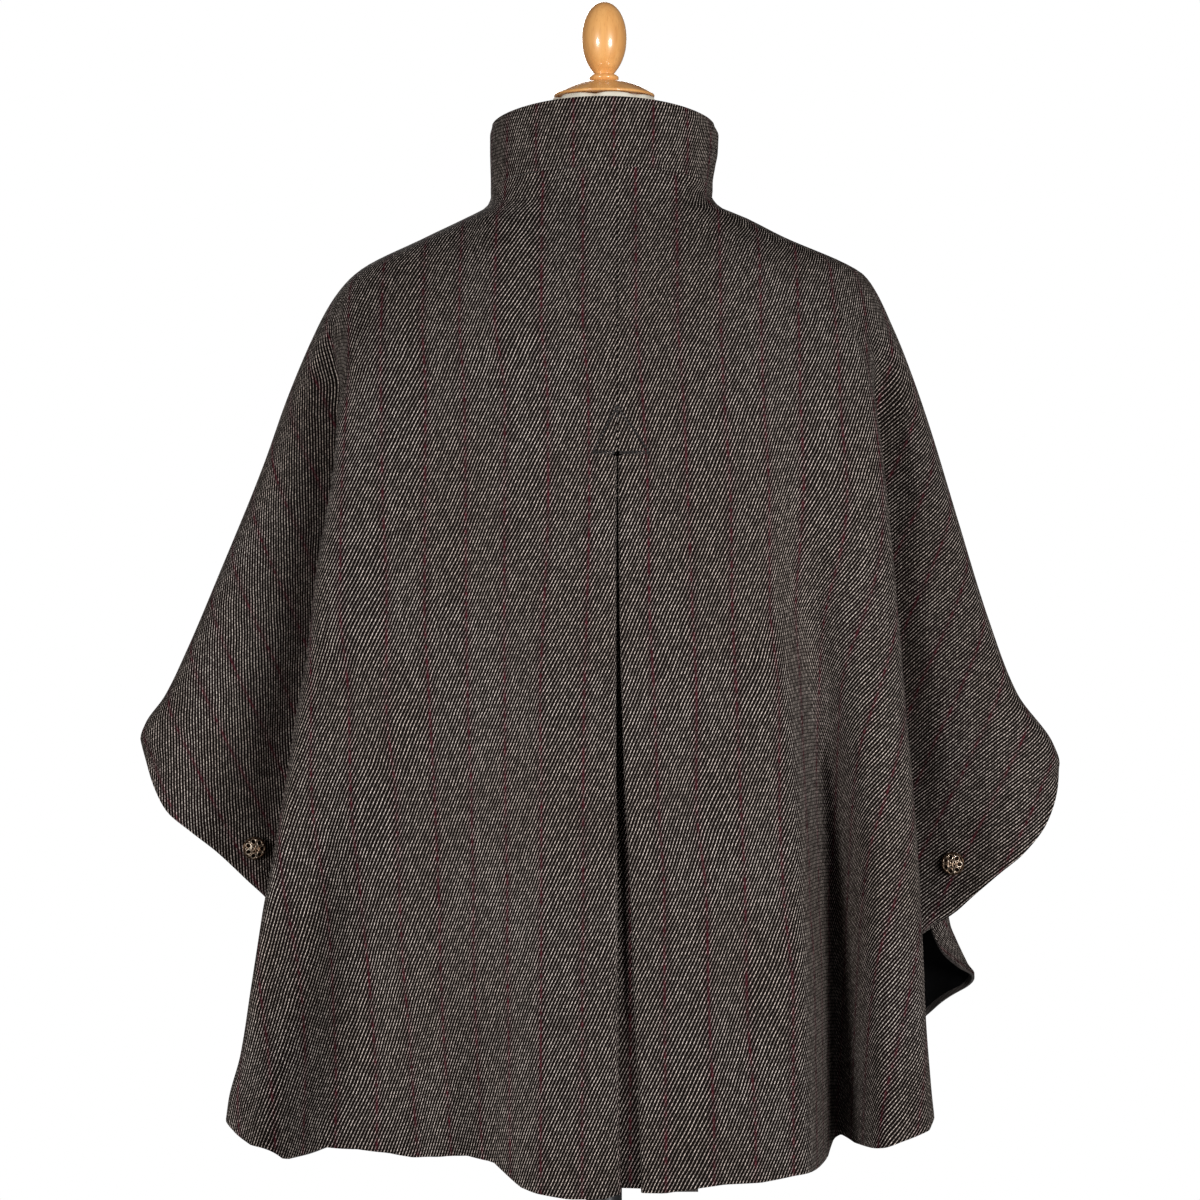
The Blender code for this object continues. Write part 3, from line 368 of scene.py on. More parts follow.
# Soft creases pressed into the cloth, from one end to the other on the panel's face.
Crease = namedtuple("Crease", "x0 z0 x1 z1 depth half_width")
CREASES_BACK_LEFT = table(
    Crease,
    (92, 1412, 150, 1330, 1.5, 12),
    (205, 1330, 196, 1250, 2.4, 7),
    (222, 1290, 238, 1180, 1.6, 9),
    (250, 1180, 268, 1060, 1.4, 11),
    (150, 1290, 168, 1120, 1.0, 16),
    (60, 1180, 74, 1000, 0.9, 15),
    (120, 1080, 132, 860, 1.1, 17),
    (300, 1040, 282, 930, 1.5, 10),
    (330, 1010, 306, 950, 1.2, 9),
)
CREASES_BACK_RIGHT = table(
    Crease,
    (96, 1410, 170, 1340, 1.5, 12),
    (206, 1325, 210, 1240, 1.8, 8),
    (226, 1290, 236, 1170, 1.4, 9),
    (246, 1190, 262, 1050, 1.5, 10),
    (120, 1300, 146, 1160, 1.0, 15),
    (70, 1160, 84, 960, 0.9, 15),
    (104, 1010, 116, 820, 1.0, 16),
    (290, 1030, 274, 920, 1.5, 10),
    (322, 1000, 300, 935, 1.2, 9),
)
CREASES_FRONT_LEFT = table(
    Crease,
    (92, 1400, 150, 1310, 1.6, 12),
    (60, 1360, 110, 1240, 1.6, 14),
    (205, 1320, 198, 1230, 2.0, 8),
    (228, 1270, 244, 1150, 1.5, 9),
    (252, 1160, 268, 1040, 1.4, 10),
    (96, 1180, 120, 960, 2.2, 18),
    (150, 1080, 168, 800, 3.0, 20),
    (300, 1030, 280, 930, 1.5, 10),
)
CREASES_FRONT_RIGHT = table(
    Crease,
    (94, 1402, 160, 1320, 1.5, 12),
    (64, 1350, 118, 1250, 1.4, 13),
    (208, 1310, 204, 1220, 2.0, 8),
    (224, 1280, 240, 1160, 1.5, 9),
    (250, 1150, 262, 1040, 1.4, 10),
    (84, 1140, 104, 900, 2.4, 18),
    (164, 1100, 180, 820, 3.2, 20),
    (290, 1020, 272, 920, 1.5, 10),
)
CREASES_BACK = {"left": CREASES_BACK_LEFT, "right": CREASES_BACK_RIGHT}
CREASES_FRONT = {"left": CREASES_FRONT_LEFT, "right": CREASES_FRONT_RIGHT}

# ---------------------------------------------------------------------------- sections of a panel

BELL_BODY = 0.80          # part of an unfolded section's width that the body columns take
BELL_CROWDING = 0.8
EDGE_PULL = 1.3
LAST_STRIP = 3.9          # place of the last strip beside the seam, whose edge is at 4
GUTTER_WAYS = (-20, -90)          # headings into the gutter: on outwards, or straight down
GUTTER_SWING = (-0.006, 0.002)    # it swings to straight down as the gutter passes the sleeve part
TIGHT_TURN = 0.1                  # under this the way over the sleeve is the way to the edge


def column(rows, name, z):
    """Values of one named column at heights z, smooth, without overshoot, level at the table's ends."""
    heights = np.array([row.z for row in rows[::-1]]) * MM
    values = np.array([getattr(row, name) for row in rows[::-1]], float)
    steps = np.diff(heights)
    slopes = np.diff(values) / steps
    tangents = np.zeros(len(values))
    for k in range(1, len(values) - 1):
        if slopes[k - 1] * slopes[k] > 0:
            wide = 2 * steps[k] + steps[k - 1]
            narrow = steps[k] + 2 * steps[k - 1]
            tangents[k] = (wide + narrow) / (wide / slopes[k - 1] + narrow / slopes[k])
    z = np.asarray(z, float)
    k = np.clip(np.searchsorted(heights, z) - 1, 0, len(steps) - 1)
    t = np.clip((z - heights[k]) / steps[k], 0, 1)
    return soft_curve(values[k], tangents[k], values[k + 1], tangents[k + 1], t, reach=steps[k])


def between(start, end, share):
    return start + (end - start) * share


def smooth(low, high, at):
    """0 below low, 1 above high and a soft rise from one to the other."""
    t = np.clip((at - low) / (high - low), 0, 1)
    return t * t * (3 - 2 * t)


def heading(degrees):
    """Unit step of a section: 0 runs outwards from the centre plane, -90 in towards the form."""
    return np.exp(1j * np.radians(degrees))


def unit(vectors):
    return vectors / np.maximum(np.linalg.norm(vectors, axis=2, keepdims=True), 1e-12)


def grid_normals(points):
    return unit(np.cross(np.gradient(points, axis=1), np.gradient(points, axis=0)))


def outward_normals(points, outward):
    normal = grid_normals(points)
    return -normal if (normal * outward).sum() < 0 else normal


def soft_curve(start, start_way, end, end_way, t, reach=None):
    """A curve that leaves start one way and comes to end another way."""
    reach = np.abs(end - start) if reach is None else reach
    return (start * (2 * t ** 3 - 3 * t ** 2 + 1) + start_way * reach * (t ** 3 - 2 * t ** 2 + t)
            + end * (3 * t ** 2 - 2 * t ** 3) + end_way * reach * (t ** 3 - t ** 2))


def round_depth(across, half, depth, square):
    """Depth of a rounded section: a circle's if square is 2, and flatter with fuller corners above it."""
    share = np.clip(across / half, 0.0, 1.0)
    return depth * (1 - share ** square) ** (1 / square)


def fold_depth(folds, x, z):
    """Depth of all the folds together at distances x from the centre plane."""
    total = np.zeros_like(x)
    for fold in folds:
        offset = x - column(fold, "x", z) * MM
        half_width = column(fold, "half_width", z) * MM
        total += column(fold, "depth", z) * MM * np.exp(-(offset / half_width) ** 2)
    return total


def sizes_at(depth, width, z):
    """All sizes of the sections at heights z, in metres, with the corners as complex points."""
    found = SimpleNamespace(square=column(depth, "square", z), fold=column(depth, "fold", z),
                            centre=column(depth, "centre", z) * MM)
    for name in ("ridge", "gutter", "sleeve"):
        across = column(width, name, z)
        setattr(found, name, (across + 1j * column(depth, f"{name}_y", z)) * MM)
    found.edge = (column(width, "edge", z) + 1j * column(width, "edge_y", z)) * MM
    found.edge_way = heading(column(width, "turn", z))
    return found


def body_points(depth, width, centre_x, start_x, folds, share, z):
    """Points between the centre (share 0) and the ridge (share 1)."""
    sizes = sizes_at(depth, width, z)
    half = sizes.edge.real - centre_x
    folded_x = between(start_x, sizes.ridge.real, share)
    bell_x = between(start_x, centre_x + BELL_BODY * half, share)
    bell = bell_x + 1j * round_depth(bell_x - centre_x, half, sizes.centre, sizes.square)
    rise = round_depth(folded_x - centre_x, sizes.ridge.real - centre_x,
                       sizes.centre - sizes.ridge.imag, sizes.square)
    points = between(bell, folded_x + 1j * (sizes.ridge.imag + rise), sizes.fold)
    return points - 1j * fold_depth(folds, points.real, z)


def tail_points(depth, width, centre_x, folds, at, z):
    """Points from the ridge (1) down into the gutter (2), out over the sleeve (3) and to the edge (4)."""
    sizes = sizes_at(depth, width, z)
    ridge, gutter, sleeve, edge = sizes.ridge, sizes.gutter, sizes.sleeve, sizes.edge
    last = edge - sizes.edge_way * SEAM_FLAT
    half = edge.real - centre_x
    reach = np.clip((at - 1) / (LAST_STRIP - 1), 0, 1)
    body_end = round_depth(BELL_BODY * half, half, sizes.centre, sizes.square)
    y = SEAM_FLAT + (body_end - SEAM_FLAT) * (1 - reach ** BELL_CROWDING)
    bell = centre_x + half * (1 - (y / sizes.centre) ** sizes.square) ** (1 / sizes.square) + 1j * y
    bell = np.where(at >= LAST_STRIP, last, bell)
    into_gutter = heading(between(*GUTTER_WAYS, smooth(*GUTTER_SWING, gutter.real - sleeve.real)))
    to_edge = (edge - sleeve) / np.abs(edge - sleeve)
    half_way = 1 + to_edge
    over_sleeve = np.where(np.abs(half_way) > TIGHT_TURN, half_way / np.abs(half_way), to_edge)
    down = soft_curve(ridge - 1j * fold_depth(folds, ridge.real, z), heading(-90), gutter, into_gutter,
                      np.clip(at - 1, 0, 1))
    out = soft_curve(gutter, into_gutter, sleeve, over_sleeve, np.clip(at - 2, 0, 1))
    share = np.clip((at - 3) / (LAST_STRIP - 3), 0, 1)
    home = soft_curve(sleeve, over_sleeve, last, sizes.edge_way * EDGE_PULL, share)
    folded = np.where(at < 2, down, np.where(at < 3, out, home))
    return np.where(at >= 4, edge, between(bell, folded, sizes.fold))


def spaced(breaks, pitch):
    """Rising or falling values through all the breaks, about a pitch apart."""
    found = [breaks[:1]]
    for start, end in zip(breaks, breaks[1:]):
        steps = max(1, round(abs(end - start) / pitch))
        found.append(np.linspace(start, end, steps + 1)[1:])
    return np.concatenate(found)


def crowded(count, places):
    """Shares from 0 to 1, closer together round each (place, amount, spread)."""
    fine = np.linspace(0, 1, 2001)
    weight = np.ones_like(fine)
    for place, amount, spread in places:
        weight += amount * np.exp(-((fine - place) / spread) ** 2)
    total = np.concatenate([[0], np.cumsum((weight[1:] + weight[:-1]) / 2)])
    return np.interp(np.linspace(0, 1, count), total / total[-1], fine)


# Places of the columns: along the tail, and as shares of the body, closer at the lip, valley and ridge.
TAIL = np.concatenate([np.linspace(1, 2, 19)[1:-1], np.linspace(2, 3, 22)[:-1],
                       np.linspace(3, LAST_STRIP, 22), [4.0]])
BODY = {"left": crowded(84, ((0.0, 1.0, 0.03), (1.0, 1.5, 0.08))),
        "right": crowded(100, ((0.0, 1.0, 0.03), (0.72, 4.0, 0.06), (1.0, 1.5, 0.08)))}
BODY_FRONT = crowded(62, ((1.0, 2.0, 0.08),))


def panel_levels(side):
    """Heights of a panel's level rows, from the neck seam down to the end of the cuff."""
    cuff = CUFFS[side]
    return spaced([NECK_Z, PLEAT_TOP_Z, PLEAT_TOP_Z - PLEAT_OPENING, cuff.tip_z, cuff.end_z], ROW_PITCH)


def heights(side, hem):
    """Heights of all points: level rows down to the end of the cuff, and then evenly down to the hem."""
    level = np.repeat(panel_levels(side)[:, None], len(hem), axis=1)
    share = np.linspace(0, 1, SKIRT_ROWS + 1)[1:, None]
    return np.concatenate([level, between(CUFFS[side].end_z, hem[None, :], share)])


CREASES_END = (NECK_Z - 0.012, NECK_Z - 0.002)
CREASE_COMES = (-0.15, 0.35)      # shares of its length over which a crease comes and goes
CREASE_GOES = (0.65, 1.15)


def creased(points, creases, outward):
    """The panel with soft troughs pressed in along each crease, dying out at its ends."""
    normal = outward_normals(points, outward)
    x, z = np.abs(points[..., 0]), points[..., 2]
    clear = 1 - smooth(*CREASES_END, z)
    for crease in creases:
        start = np.array([crease.x0, crease.z0]) * MM
        way = np.array([crease.x1, crease.z1]) * MM - start
        length = np.hypot(*way)
        along = ((x - start[0]) * way[0] + (z - start[1]) * way[1]) / length ** 2
        off = ((x - start[0]) * way[1] - (z - start[1]) * way[0]) / length
        ends = smooth(*CREASE_COMES, along) * (1 - smooth(*CREASE_GOES, along))
        depth = crease.depth * MM * clear * ends * np.exp(-(off / (crease.half_width * MM)) ** 2)
        points = points - normal * depth[..., None]
    return points


# ---------------------------------------------------------------------------- flat lie of the cloth


def row_lengths(points, first):
    """Length along each row from the column called first, less than zero before it."""
    steps = np.linalg.norm(np.diff(points, axis=1), axis=2)
    total = np.concatenate([np.zeros((len(points), 1)), np.cumsum(steps, axis=1)], axis=1)
    return total - total[:, first:first + 1]


EVEN_Z = 1.25             # here all columns have come down the same length
EVEN_FROM_Z = 1.40        # above this each keeps its own length from the neck
STEEPEST = 0.004          # most that a step down the cloth may go in or out


def column_lengths(points):
    """Length straight down the cloth, with the sideways drift taken out."""
    drift = np.gradient(points, axis=1)
    slope = np.clip(drift[..., 1] / np.where(np.abs(drift[..., 0]) < 1e-7, 1e-7, drift[..., 0]), -1, 1)
    step = np.diff(points, axis=0)
    depth = step[..., 1] - slope[:-1] * step[..., 0]
    lengths = np.hypot(step[..., 2], np.clip(depth, -STEEPEST, STEEPEST))
    total = np.concatenate([np.zeros((1, points.shape[1])), np.cumsum(lengths, axis=0)])
    even = np.argmin(np.abs(points[:, 0, 2] - EVEN_Z))
    share = 1 - smooth(EVEN_Z, EVEN_FROM_Z, points[..., 2])
    return total - share * (total[even] - total[even].mean())


def turned_flat(points, first, turn, pivot, across, along):
    """Flat places of cloth turned round a pivot, measured along each row from the column called first."""
    x = np.abs(points[:, first:first + 1, 0]) + row_lengths(points, first) - pivot[0]
    z = points[..., 2] - pivot[1]
    cos, sin = math.cos(turn), math.sin(turn)
    return x * cos - z * sin + across, x * sin + z * cos + along


STRIPE_EASE = (0.8 * STRIPE_PITCH, 1.25 * STRIPE_PITCH)
STRIPE_LEAD = 1.0         # past the outer stripes the lengths run on as they are


def led(values):
    """The values with one more at each end, to lead the lengths on past them."""
    return np.concatenate([[values[0] - STRIPE_LEAD], values, [values[-1] + STRIPE_LEAD]])


def stripe_lengths(side, points, across):
    """Lengths along each row, stretched so that every pinstripe falls on a multiple of the pitch."""
    rows, count = STRIPES[side]
    names = Stripes._fields[1:count + 1]
    level = np.minimum(points[:, LIP_COLUMNS, 2], STRIPES_FROM_Z)
    places = np.stack([column(rows, name, level) * MM for name in names], axis=1)
    found = np.empty_like(across)
    for i, row in enumerate(points):
        x = np.abs(row[LIP_COLUMNS:, 0] if side == "left" else -row[LIP_COLUMNS:, 0])
        s = across[i, LIP_COLUMNS:]
        top = int(np.argmax(x)) + 1
        stops = np.interp(places[i], np.maximum.accumulate(x[:top]), s[:top])
        for k in range(1, count):
            stops[k] = np.clip(stops[k] - stops[k - 1], *STRIPE_EASE) + stops[k - 1]
        marks = np.arange(1, count + 1) * STRIPE_PITCH
        found[i] = np.interp(across[i], led(stops), led(marks))
    return found


# ---------------------------------------------------------------------------- making meshes


def deselect():
    for chosen in bpy.context.selected_objects:
        chosen.select_set(False)


def only(made):
    deselect()
    made.select_set(True)
    bpy.context.view_layer.objects.active = made
    return made


def copied(pattern, place):
    """A copy with its own mesh, moved and turned."""
    made = pattern.copy()
    made.data = pattern.data.copy()
    made.data.transform(place)
    bpy.context.scene.collection.objects.link(made)
    return made


def shaded(made, angle=50):
    """Shades a piece smooth, apart from edges sharper than the angle."""
    only(made)
    bpy.ops.object.shade_smooth_by_angle(angle=math.radians(angle))
    return made


def cloth_grid(name, points, flat, outward):
    """A grid primitive whose points are placed row by row from the top down, facing outwards."""
    if (grid_normals(points) * outward).sum() < 0:
        points = points[:, ::-1]
        flat = flat[:, ::-1]
    rows, columns = points.shape[:2]
    deselect()
    bpy.ops.mesh.primitive_grid_add(x_subdivisions=columns - 1, y_subdivisions=rows - 1, size=1)
    made = bpy.context.object
    made.name = made.data.name = name
    mesh = made.data
    mesh.vertices.foreach_set("co", np.ascontiguousarray(points).reshape(-1))
    corners = np.empty(len(mesh.loops), np.int32)
    mesh.loops.foreach_get("vertex_index", corners)
    uv = np.ascontiguousarray(flat).reshape(-1, 2)[corners]
    mesh.uv_layers[0].data.foreach_set("uv", uv.reshape(-1))
    mesh.update()
    return made


def trim_returns(made, sewn_rows, columns, mirrored):
    """Takes away the lip and return above the pleat, where the backs are sewn edge to edge."""
    work = bmesh.new()
    work.from_mesh(made.data)
    gone = []
    for face in work.faces:
        places = [divmod(vert.index, columns) for vert in face.verts]
        from_centre = [columns - 1 - k if mirrored else k for _, k in places]
        if max(from_centre) <= LIP_COLUMNS and min(row for row, _ in places) < sewn_rows:
            gone.append(face)
    bmesh.ops.delete(work, geom=gone, context="FACES")
    work.to_mesh(made.data)
    work.free()


def finish_wall(made, wall, materials):
    """Gives a shell its wall towards the inside and shades it smooth."""
    only(made)
    for finish in materials:
        made.data.materials.append(finish)
    solid = made.modifiers.new("Wall", "SOLIDIFY")
    solid.thickness = wall
    solid.offset = -1.0
    solid.use_even_offset = False
    solid.material_offset = 1
    solid.material_offset_rim = 1
    bpy.ops.object.modifier_apply(modifier=solid.name)
    shaded(made)


def dressed(made, node):
    """Hangs a piece on the root body and hides the imported part that it stands for."""
    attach(made, "root")
    if node:
        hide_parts(node)
    return made


Cut = namedtuple("Cut", "width length area held rests_on")
SHELLS = {}               # outer face of each panel, to set buttons and stitches on


def cloth_piece(node, points, flat, outward, sewn_rows=0, mirrored=False):
    """A panel of cloth: its shell, trimmed along the centre seam's rows, and its wall."""
    lined = node == "front_lining_right"
    made = cloth_grid(f"{node}_cloth", points, flat, outward)
    if sewn_rows:
        trim_returns(made, sewn_rows, points.shape[1], mirrored)
    corners = [vert.co.copy() for vert in made.data.vertices]
    SHELLS[node] = BVHTree.FromPolygons(corners, [tuple(face.vertices) for face in made.data.polygons])
    if lined:
        finish_wall(made, LINING_WALL, (LINING, LINING))
    else:
        finish_wall(made, WALL, (WOOL, REVERSE))
    dressed(made, node)
    return made


# ---------------------------------------------------------------------------- materials


class Finish:
    """A material whose nodes are added one by one, each fed with numbers, colours or other nodes."""

    def __init__(self, name):
        self.made = bpy.data.materials.new(name)
        self.made.use_nodes = True
        self.tree = self.made.node_tree
        self.shader = self.tree.nodes["Principled BSDF"]

    def node(self, kind, inputs=(), **settings):
        made = self.tree.nodes.new(f"ShaderNode{kind}")
        for key, value in settings.items():
            setattr(made, key, value)
        for key, value in dict(inputs).items():
            if isinstance(value, bpy.types.NodeSocket):
                self.tree.links.new(value, made.inputs[key])
            elif value is not None:
                made.inputs[key].default_value = value
        return made

    def calc(self, operation, a, b=None, c=None):
        return self.node("Math", {0: a, 1: b, 2: c}, operation=operation).outputs[0]

    def ramp(self, value, low, high, out_low=0.0, out_high=1.0):
        limits = {"Value": value, "From Min": low, "From Max": high, "To Min": out_low, "To Max": out_high}
        return self.node("MapRange", limits, interpolation_type="SMOOTHSTEP").outputs[0]

    def mix(self, share, a, b):
        return self.node("Mix", {0: share, 6: a, 7: b}, data_type="RGBA").outputs[2]

    def place(self, which="Object", scale=(1, 1, 1), turn=(0, 0, 0)):
        coords = self.node("TexCoord").outputs[which]
        return self.node("Mapping", {"Vector": coords, "Scale": scale, "Rotation": turn}).outputs[0]

    def noise(self, where, scale, detail=2.0, rough=0.5):
        made = self.node("TexNoise", {"Vector": where, "Scale": scale, "Detail": detail, "Roughness": rough})
        return made.outputs["Fac"]

    def bump(self, height, distance, strength=1.0):
        made = self.node("Bump", {"Height": height, "Distance": distance, "Strength": strength})
        self.tree.links.new(made.outputs[0], self.shader.inputs["Normal"])

    def colour(self, socket):
        self.tree.links.new(socket, self.shader.inputs["Base Color"])

    def rough(self, socket):
        self.tree.links.new(socket, self.shader.inputs["Roughness"])

    def set(self, **values):
        for key, value in values.items():
            self.shader.inputs[key.replace("_", " ")].default_value = value


TWILL_ANGLE = math.radians(65)
TWILL_ROW = 0.00227       # between twill lines
FLECK = 0.0029            # length of a fleck along a line
FLECK_STAGGER = 0.387     # of a fleck, from one line to the next
STRIPE_BAND = (0.0018, 0.0060)    # half-width of the mauve band, from full to none
STRIPE_YARN = (0.0003, 0.0015)    # the same of the red yarn in it
LINING_RIB = 0.0002
CANVAS_THREAD = 0.0003


def wool():
    """Brown-black twill with cream flecks along its lines, and broken red pinstripes in mauve bands."""
    f = Finish("wool twill")
    flat = f.place("UV")
    parts = f.node("SeparateXYZ", {0: flat})
    wander = f.noise(flat, 45.0, 1.0)
    line = f.node("SeparateXYZ", {0: f.place("UV", turn=(0, 0, -TWILL_ANGLE))})
    # Rows of cells along the twill's lines, each cell a fleck.
    across = f.calc("MULTIPLY_ADD", line.outputs[1], 1 / TWILL_ROW, f.ramp(wander, 0.3, 0.7, -0.13, 0.13))
    row = f.calc("FLOOR", across)
    along = f.calc("MULTIPLY_ADD", line.outputs[0], 1 / FLECK, f.calc("MULTIPLY", row, FLECK_STAGGER))
    in_row = f.calc("ABSOLUTE", f.calc("SUBTRACT", f.calc("FRACT", across), 0.5))
    in_cell = f.calc("ABSOLUTE", f.calc("SUBTRACT", f.calc("FRACT", along), 0.5))
    place = f.node("CombineXYZ", {0: row, 1: f.calc("FLOOR", along)}).outputs[0]
    chance = f.node("TexWhiteNoise", {"Vector": place}, noise_dimensions="2D").outputs["Value"]
    # Each fleck's form and how bright it is, by chance and by the fuzz over it.
    shape = f.calc("MULTIPLY", f.ramp(in_row, 0.02, 0.16, 1.0, 0.0), f.ramp(in_cell, 0.24, 0.5, 1.0, 0.08))
    fuzz = f.noise(f.place("Object"), 1900.0, 2.0, 0.6)
    glint = f.calc("MULTIPLY_ADD", f.calc("POWER", chance, 1.5), 0.80, 0.40)
    bright = f.calc("MULTIPLY", glint, f.ramp(fuzz, 0.3, 0.7, 0.75, 1.15))
    # Pinstripes: a red yarn that comes and goes, in a mauve band.
    stripe = f.calc("PINGPONG", parts.outputs[0], STRIPE_PITCH / 2)
    broken = f.ramp(f.noise(f.place("UV", scale=(40, 150, 1)), 1.0, 3.0, 0.6), 0.38, 0.64, 0.05, 0.95)
    band = f.calc("MULTIPLY", f.ramp(stripe, *STRIPE_BAND, 1.0, 0.0), 0.4)
    yarn = f.calc("MULTIPLY", f.ramp(stripe, *STRIPE_YARN, 1.0, 0.0), broken)
    cloudy = f.ramp(f.noise(f.place("Object"), 11.0, 3.0), 0.3, 0.7)
    cream = f.mix(cloudy, (0.83, 0.70, 0.615, 1), (0.92, 0.80, 0.725, 1))
    fleck = f.mix(yarn, f.mix(band, cream, (0.68, 0.43, 0.45, 1)), (0.26, 0.055, 0.075, 1))
    ground = f.mix(fuzz, (0.002, 0.0012, 0.001, 1), (0.008, 0.0052, 0.0045, 1))
    ground = f.mix(yarn, ground, (0.034, 0.006, 0.009, 1))
    f.colour(f.mix(f.calc("MULTIPLY", shape, bright), ground, fleck))
    f.set(Roughness=0.92, Specular_IOR_Level=0.05)
    f.bump(f.calc("MULTIPLY_ADD", fuzz, 0.3, shape), 0.0003, 0.8)
    return f.made


def wool_reverse():
    """The same wool from inside: fuzzy, with only faint lines."""
    f = Finish("wool reverse")
    flat = f.place("UV", turn=(0, 0, TWILL_ANGLE))
    lines = f.calc("PINGPONG", f.node("SeparateXYZ", {0: flat}).outputs[1], TWILL_ROW / 2)
    line = f.ramp(lines, 0.0002, 0.0009)
    fuzz = f.noise(f.place("Object"), 1400.0, 3.0, 0.7)
    both = f.calc("MULTIPLY_ADD", line, 0.35, f.ramp(fuzz, 0.3, 0.75, 0.0, 0.65))
    f.colour(f.mix(both, (0.012, 0.009, 0.008, 1), (0.085, 0.072, 0.066, 1)))
    f.set(Roughness=0.95, Sheen_Weight=0.1, Specular_IOR_Level=0.12)
    f.bump(fuzz, 0.0003, 0.6)
    return f.made


def lining_cloth():
    """Black lining, smooth with a faint twill and a soft sheen."""
    f = Finish("black lining")
    flat = f.place("UV", turn=(0, 0, math.radians(45)))
    ribs = f.calc("PINGPONG", f.node("SeparateXYZ", {0: flat}).outputs[0], LINING_RIB)
    rib = f.ramp(ribs, 0.0, LINING_RIB)
    cloudy = f.noise(f.place("Object"), 14.0, 3.0)
    f.colour(f.mix(cloudy, (0.0016, 0.0016, 0.0018, 1), (0.004, 0.004, 0.0046, 1)))
    f.rough(f.ramp(cloudy, 0.3, 0.7, 0.48, 0.62))
    f.set(Specular_IOR_Level=0.06)
    f.bump(rib, 0.0001, 0.3)
    return f.made


def thread():
    f = Finish("black sewing thread")
    where = f.place("Object")
    f.colour(f.mix(f.noise(where, 900.0, 2.0), (0.004, 0.003, 0.003, 1), (0.022, 0.018, 0.017, 1)))
    f.set(Roughness=0.8)
    f.bump(f.noise(where, 2600.0, 1.0), 0.0001, 0.6)
    return f.made


def brass(name, dark, light, roughness):
    """Antiqued brass: worn brighter in patches, dull and brown between them."""
    f = Finish(name)
    where = f.place("Object")
    worn = f.ramp(f.noise(where, 420.0, 4.0, 0.65), 0.35, 0.65)
    f.colour(f.mix(worn, dark, light))
    f.rough(f.ramp(worn, 0.0, 1.0, roughness + 0.2, roughness))
    f.set(Metallic=1.0)
    f.bump(f.noise(where, 1500.0, 2.0), 0.00008, 0.5)
    return f.made


def varnished_wood():
    """Pale turned wood under varnish, with fine grain along its length."""
    f = Finish("varnished wood")
    where = f.place("Object", scale=(38, 38, 5))
    bands = f.noise(where, 2.2, 4.0, 0.6)
    fibres = f.noise(f.place("Object", scale=(900, 900, 45)), 1.0, 2.0, 0.6)
    base = f.mix(f.ramp(bands, 0.35, 0.68), (0.86, 0.44, 0.145, 1), (0.73, 0.33, 0.095, 1))
    f.colour(f.mix(f.ramp(fibres, 0.52, 0.72, 0.0, 0.35), base, (0.50, 0.21, 0.06, 1)))
    f.set(Roughness=0.32, Coat_Weight=0.6, Coat_Roughness=0.12, Specular_IOR_Level=0.45)
    f.bump(fibres, 0.0001, 0.25)
    return f.made


def form_canvas():
    """Cream cotton over the padded form."""
    f = Finish("cream canvas")
    where = f.place("Object")
    parts = f.node("SeparateXYZ", {0: where})
    warp = f.calc("PINGPONG", parts.outputs[0], CANVAS_THREAD)
    weft = f.calc("PINGPONG", parts.outputs[2], CANVAS_THREAD)
    weave = f.calc("MULTIPLY", f.ramp(warp, 0.0, CANVAS_THREAD), f.ramp(weft, 0.0, CANVAS_THREAD))
    cloudy = f.noise(where, 20.0, 3.0)
    base = f.mix(cloudy, (0.70, 0.64, 0.52, 1), (0.80, 0.75, 0.64, 1))
    f.colour(f.mix(f.calc("MULTIPLY", weave, 0.25), base, (0.42, 0.37, 0.29, 1)))
    f.set(Roughness=0.9, Sheen_Weight=0.1)
    f.bump(weave, 0.0001, 0.4)
    return f.made


def painted_steel():
    f = Finish("satin black paint")
    where = f.place("Object")
    f.colour(f.mix(f.noise(where, 30.0, 3.0), (0.012, 0.012, 0.013, 1), (0.024, 0.024, 0.026, 1)))
    f.rough(f.ramp(f.noise(where, 260.0, 3.0), 0.3, 0.7, 0.34, 0.5))
    f.bump(f.noise(where, 900.0, 2.0), 0.00006, 0.4)
    return f.made


def studio_floor():
    f = Finish("pale studio floor")
    cloudy = f.noise(f.place("Object"), 3.0, 3.0)
    f.colour(f.mix(cloudy, (0.78, 0.78, 0.78, 1), (0.84, 0.84, 0.84, 1)))
    f.set(Roughness=0.85)
    return f.made


WOOL = wool()
REVERSE = wool_reverse()
LINING = lining_cloth()
THREAD = thread()
BRASS_RELIEF = brass("antique brass relief", (0.40, 0.25, 0.155, 1), (0.96, 0.82, 0.67, 1), 0.30)
BRASS_RIM = brass("antique brass rim", (0.035, 0.02, 0.012, 1), (0.18, 0.115, 0.075, 1), 0.4)
BRASS_GROUND = brass("antique brass ground", (0.010, 0.006, 0.004, 1), (0.045, 0.026, 0.016, 1), 0.5)
WOOD = varnished_wood()
CANVAS = form_canvas()
PAINT = painted_steel()

# ---------------------------------------------------------------------------- backs

LIP_TURN = np.linspace(0, math.pi, 9)[1:-1]
RETURN_REACH = np.linspace(0, RETURN_WIDTH, 9)
LIP_COLUMNS = len(LIP_TURN) + len(RETURN_REACH)


def centre_line(side, z):
    """Distance of the centre seam, or of the pleat's folded edge, from the centre plane."""
    sign = 1 if side == "left" else -1
    seam = sign * CENTRE_SEAM_X * MM + SEAM_GAP / 2
    return np.where(z >= PLEAT_TOP_Z - SAME_LEVEL, seam, sign * column(LIPS, side, z) * MM)


def body_start(side, z):
    """Where the flat of a back starts: past the lip, where the pleat has one."""
    return centre_line(side, z) + np.where(z < PLEAT_TOP_Z - SAME_LEVEL, LIP_RADIUS, 0.0)


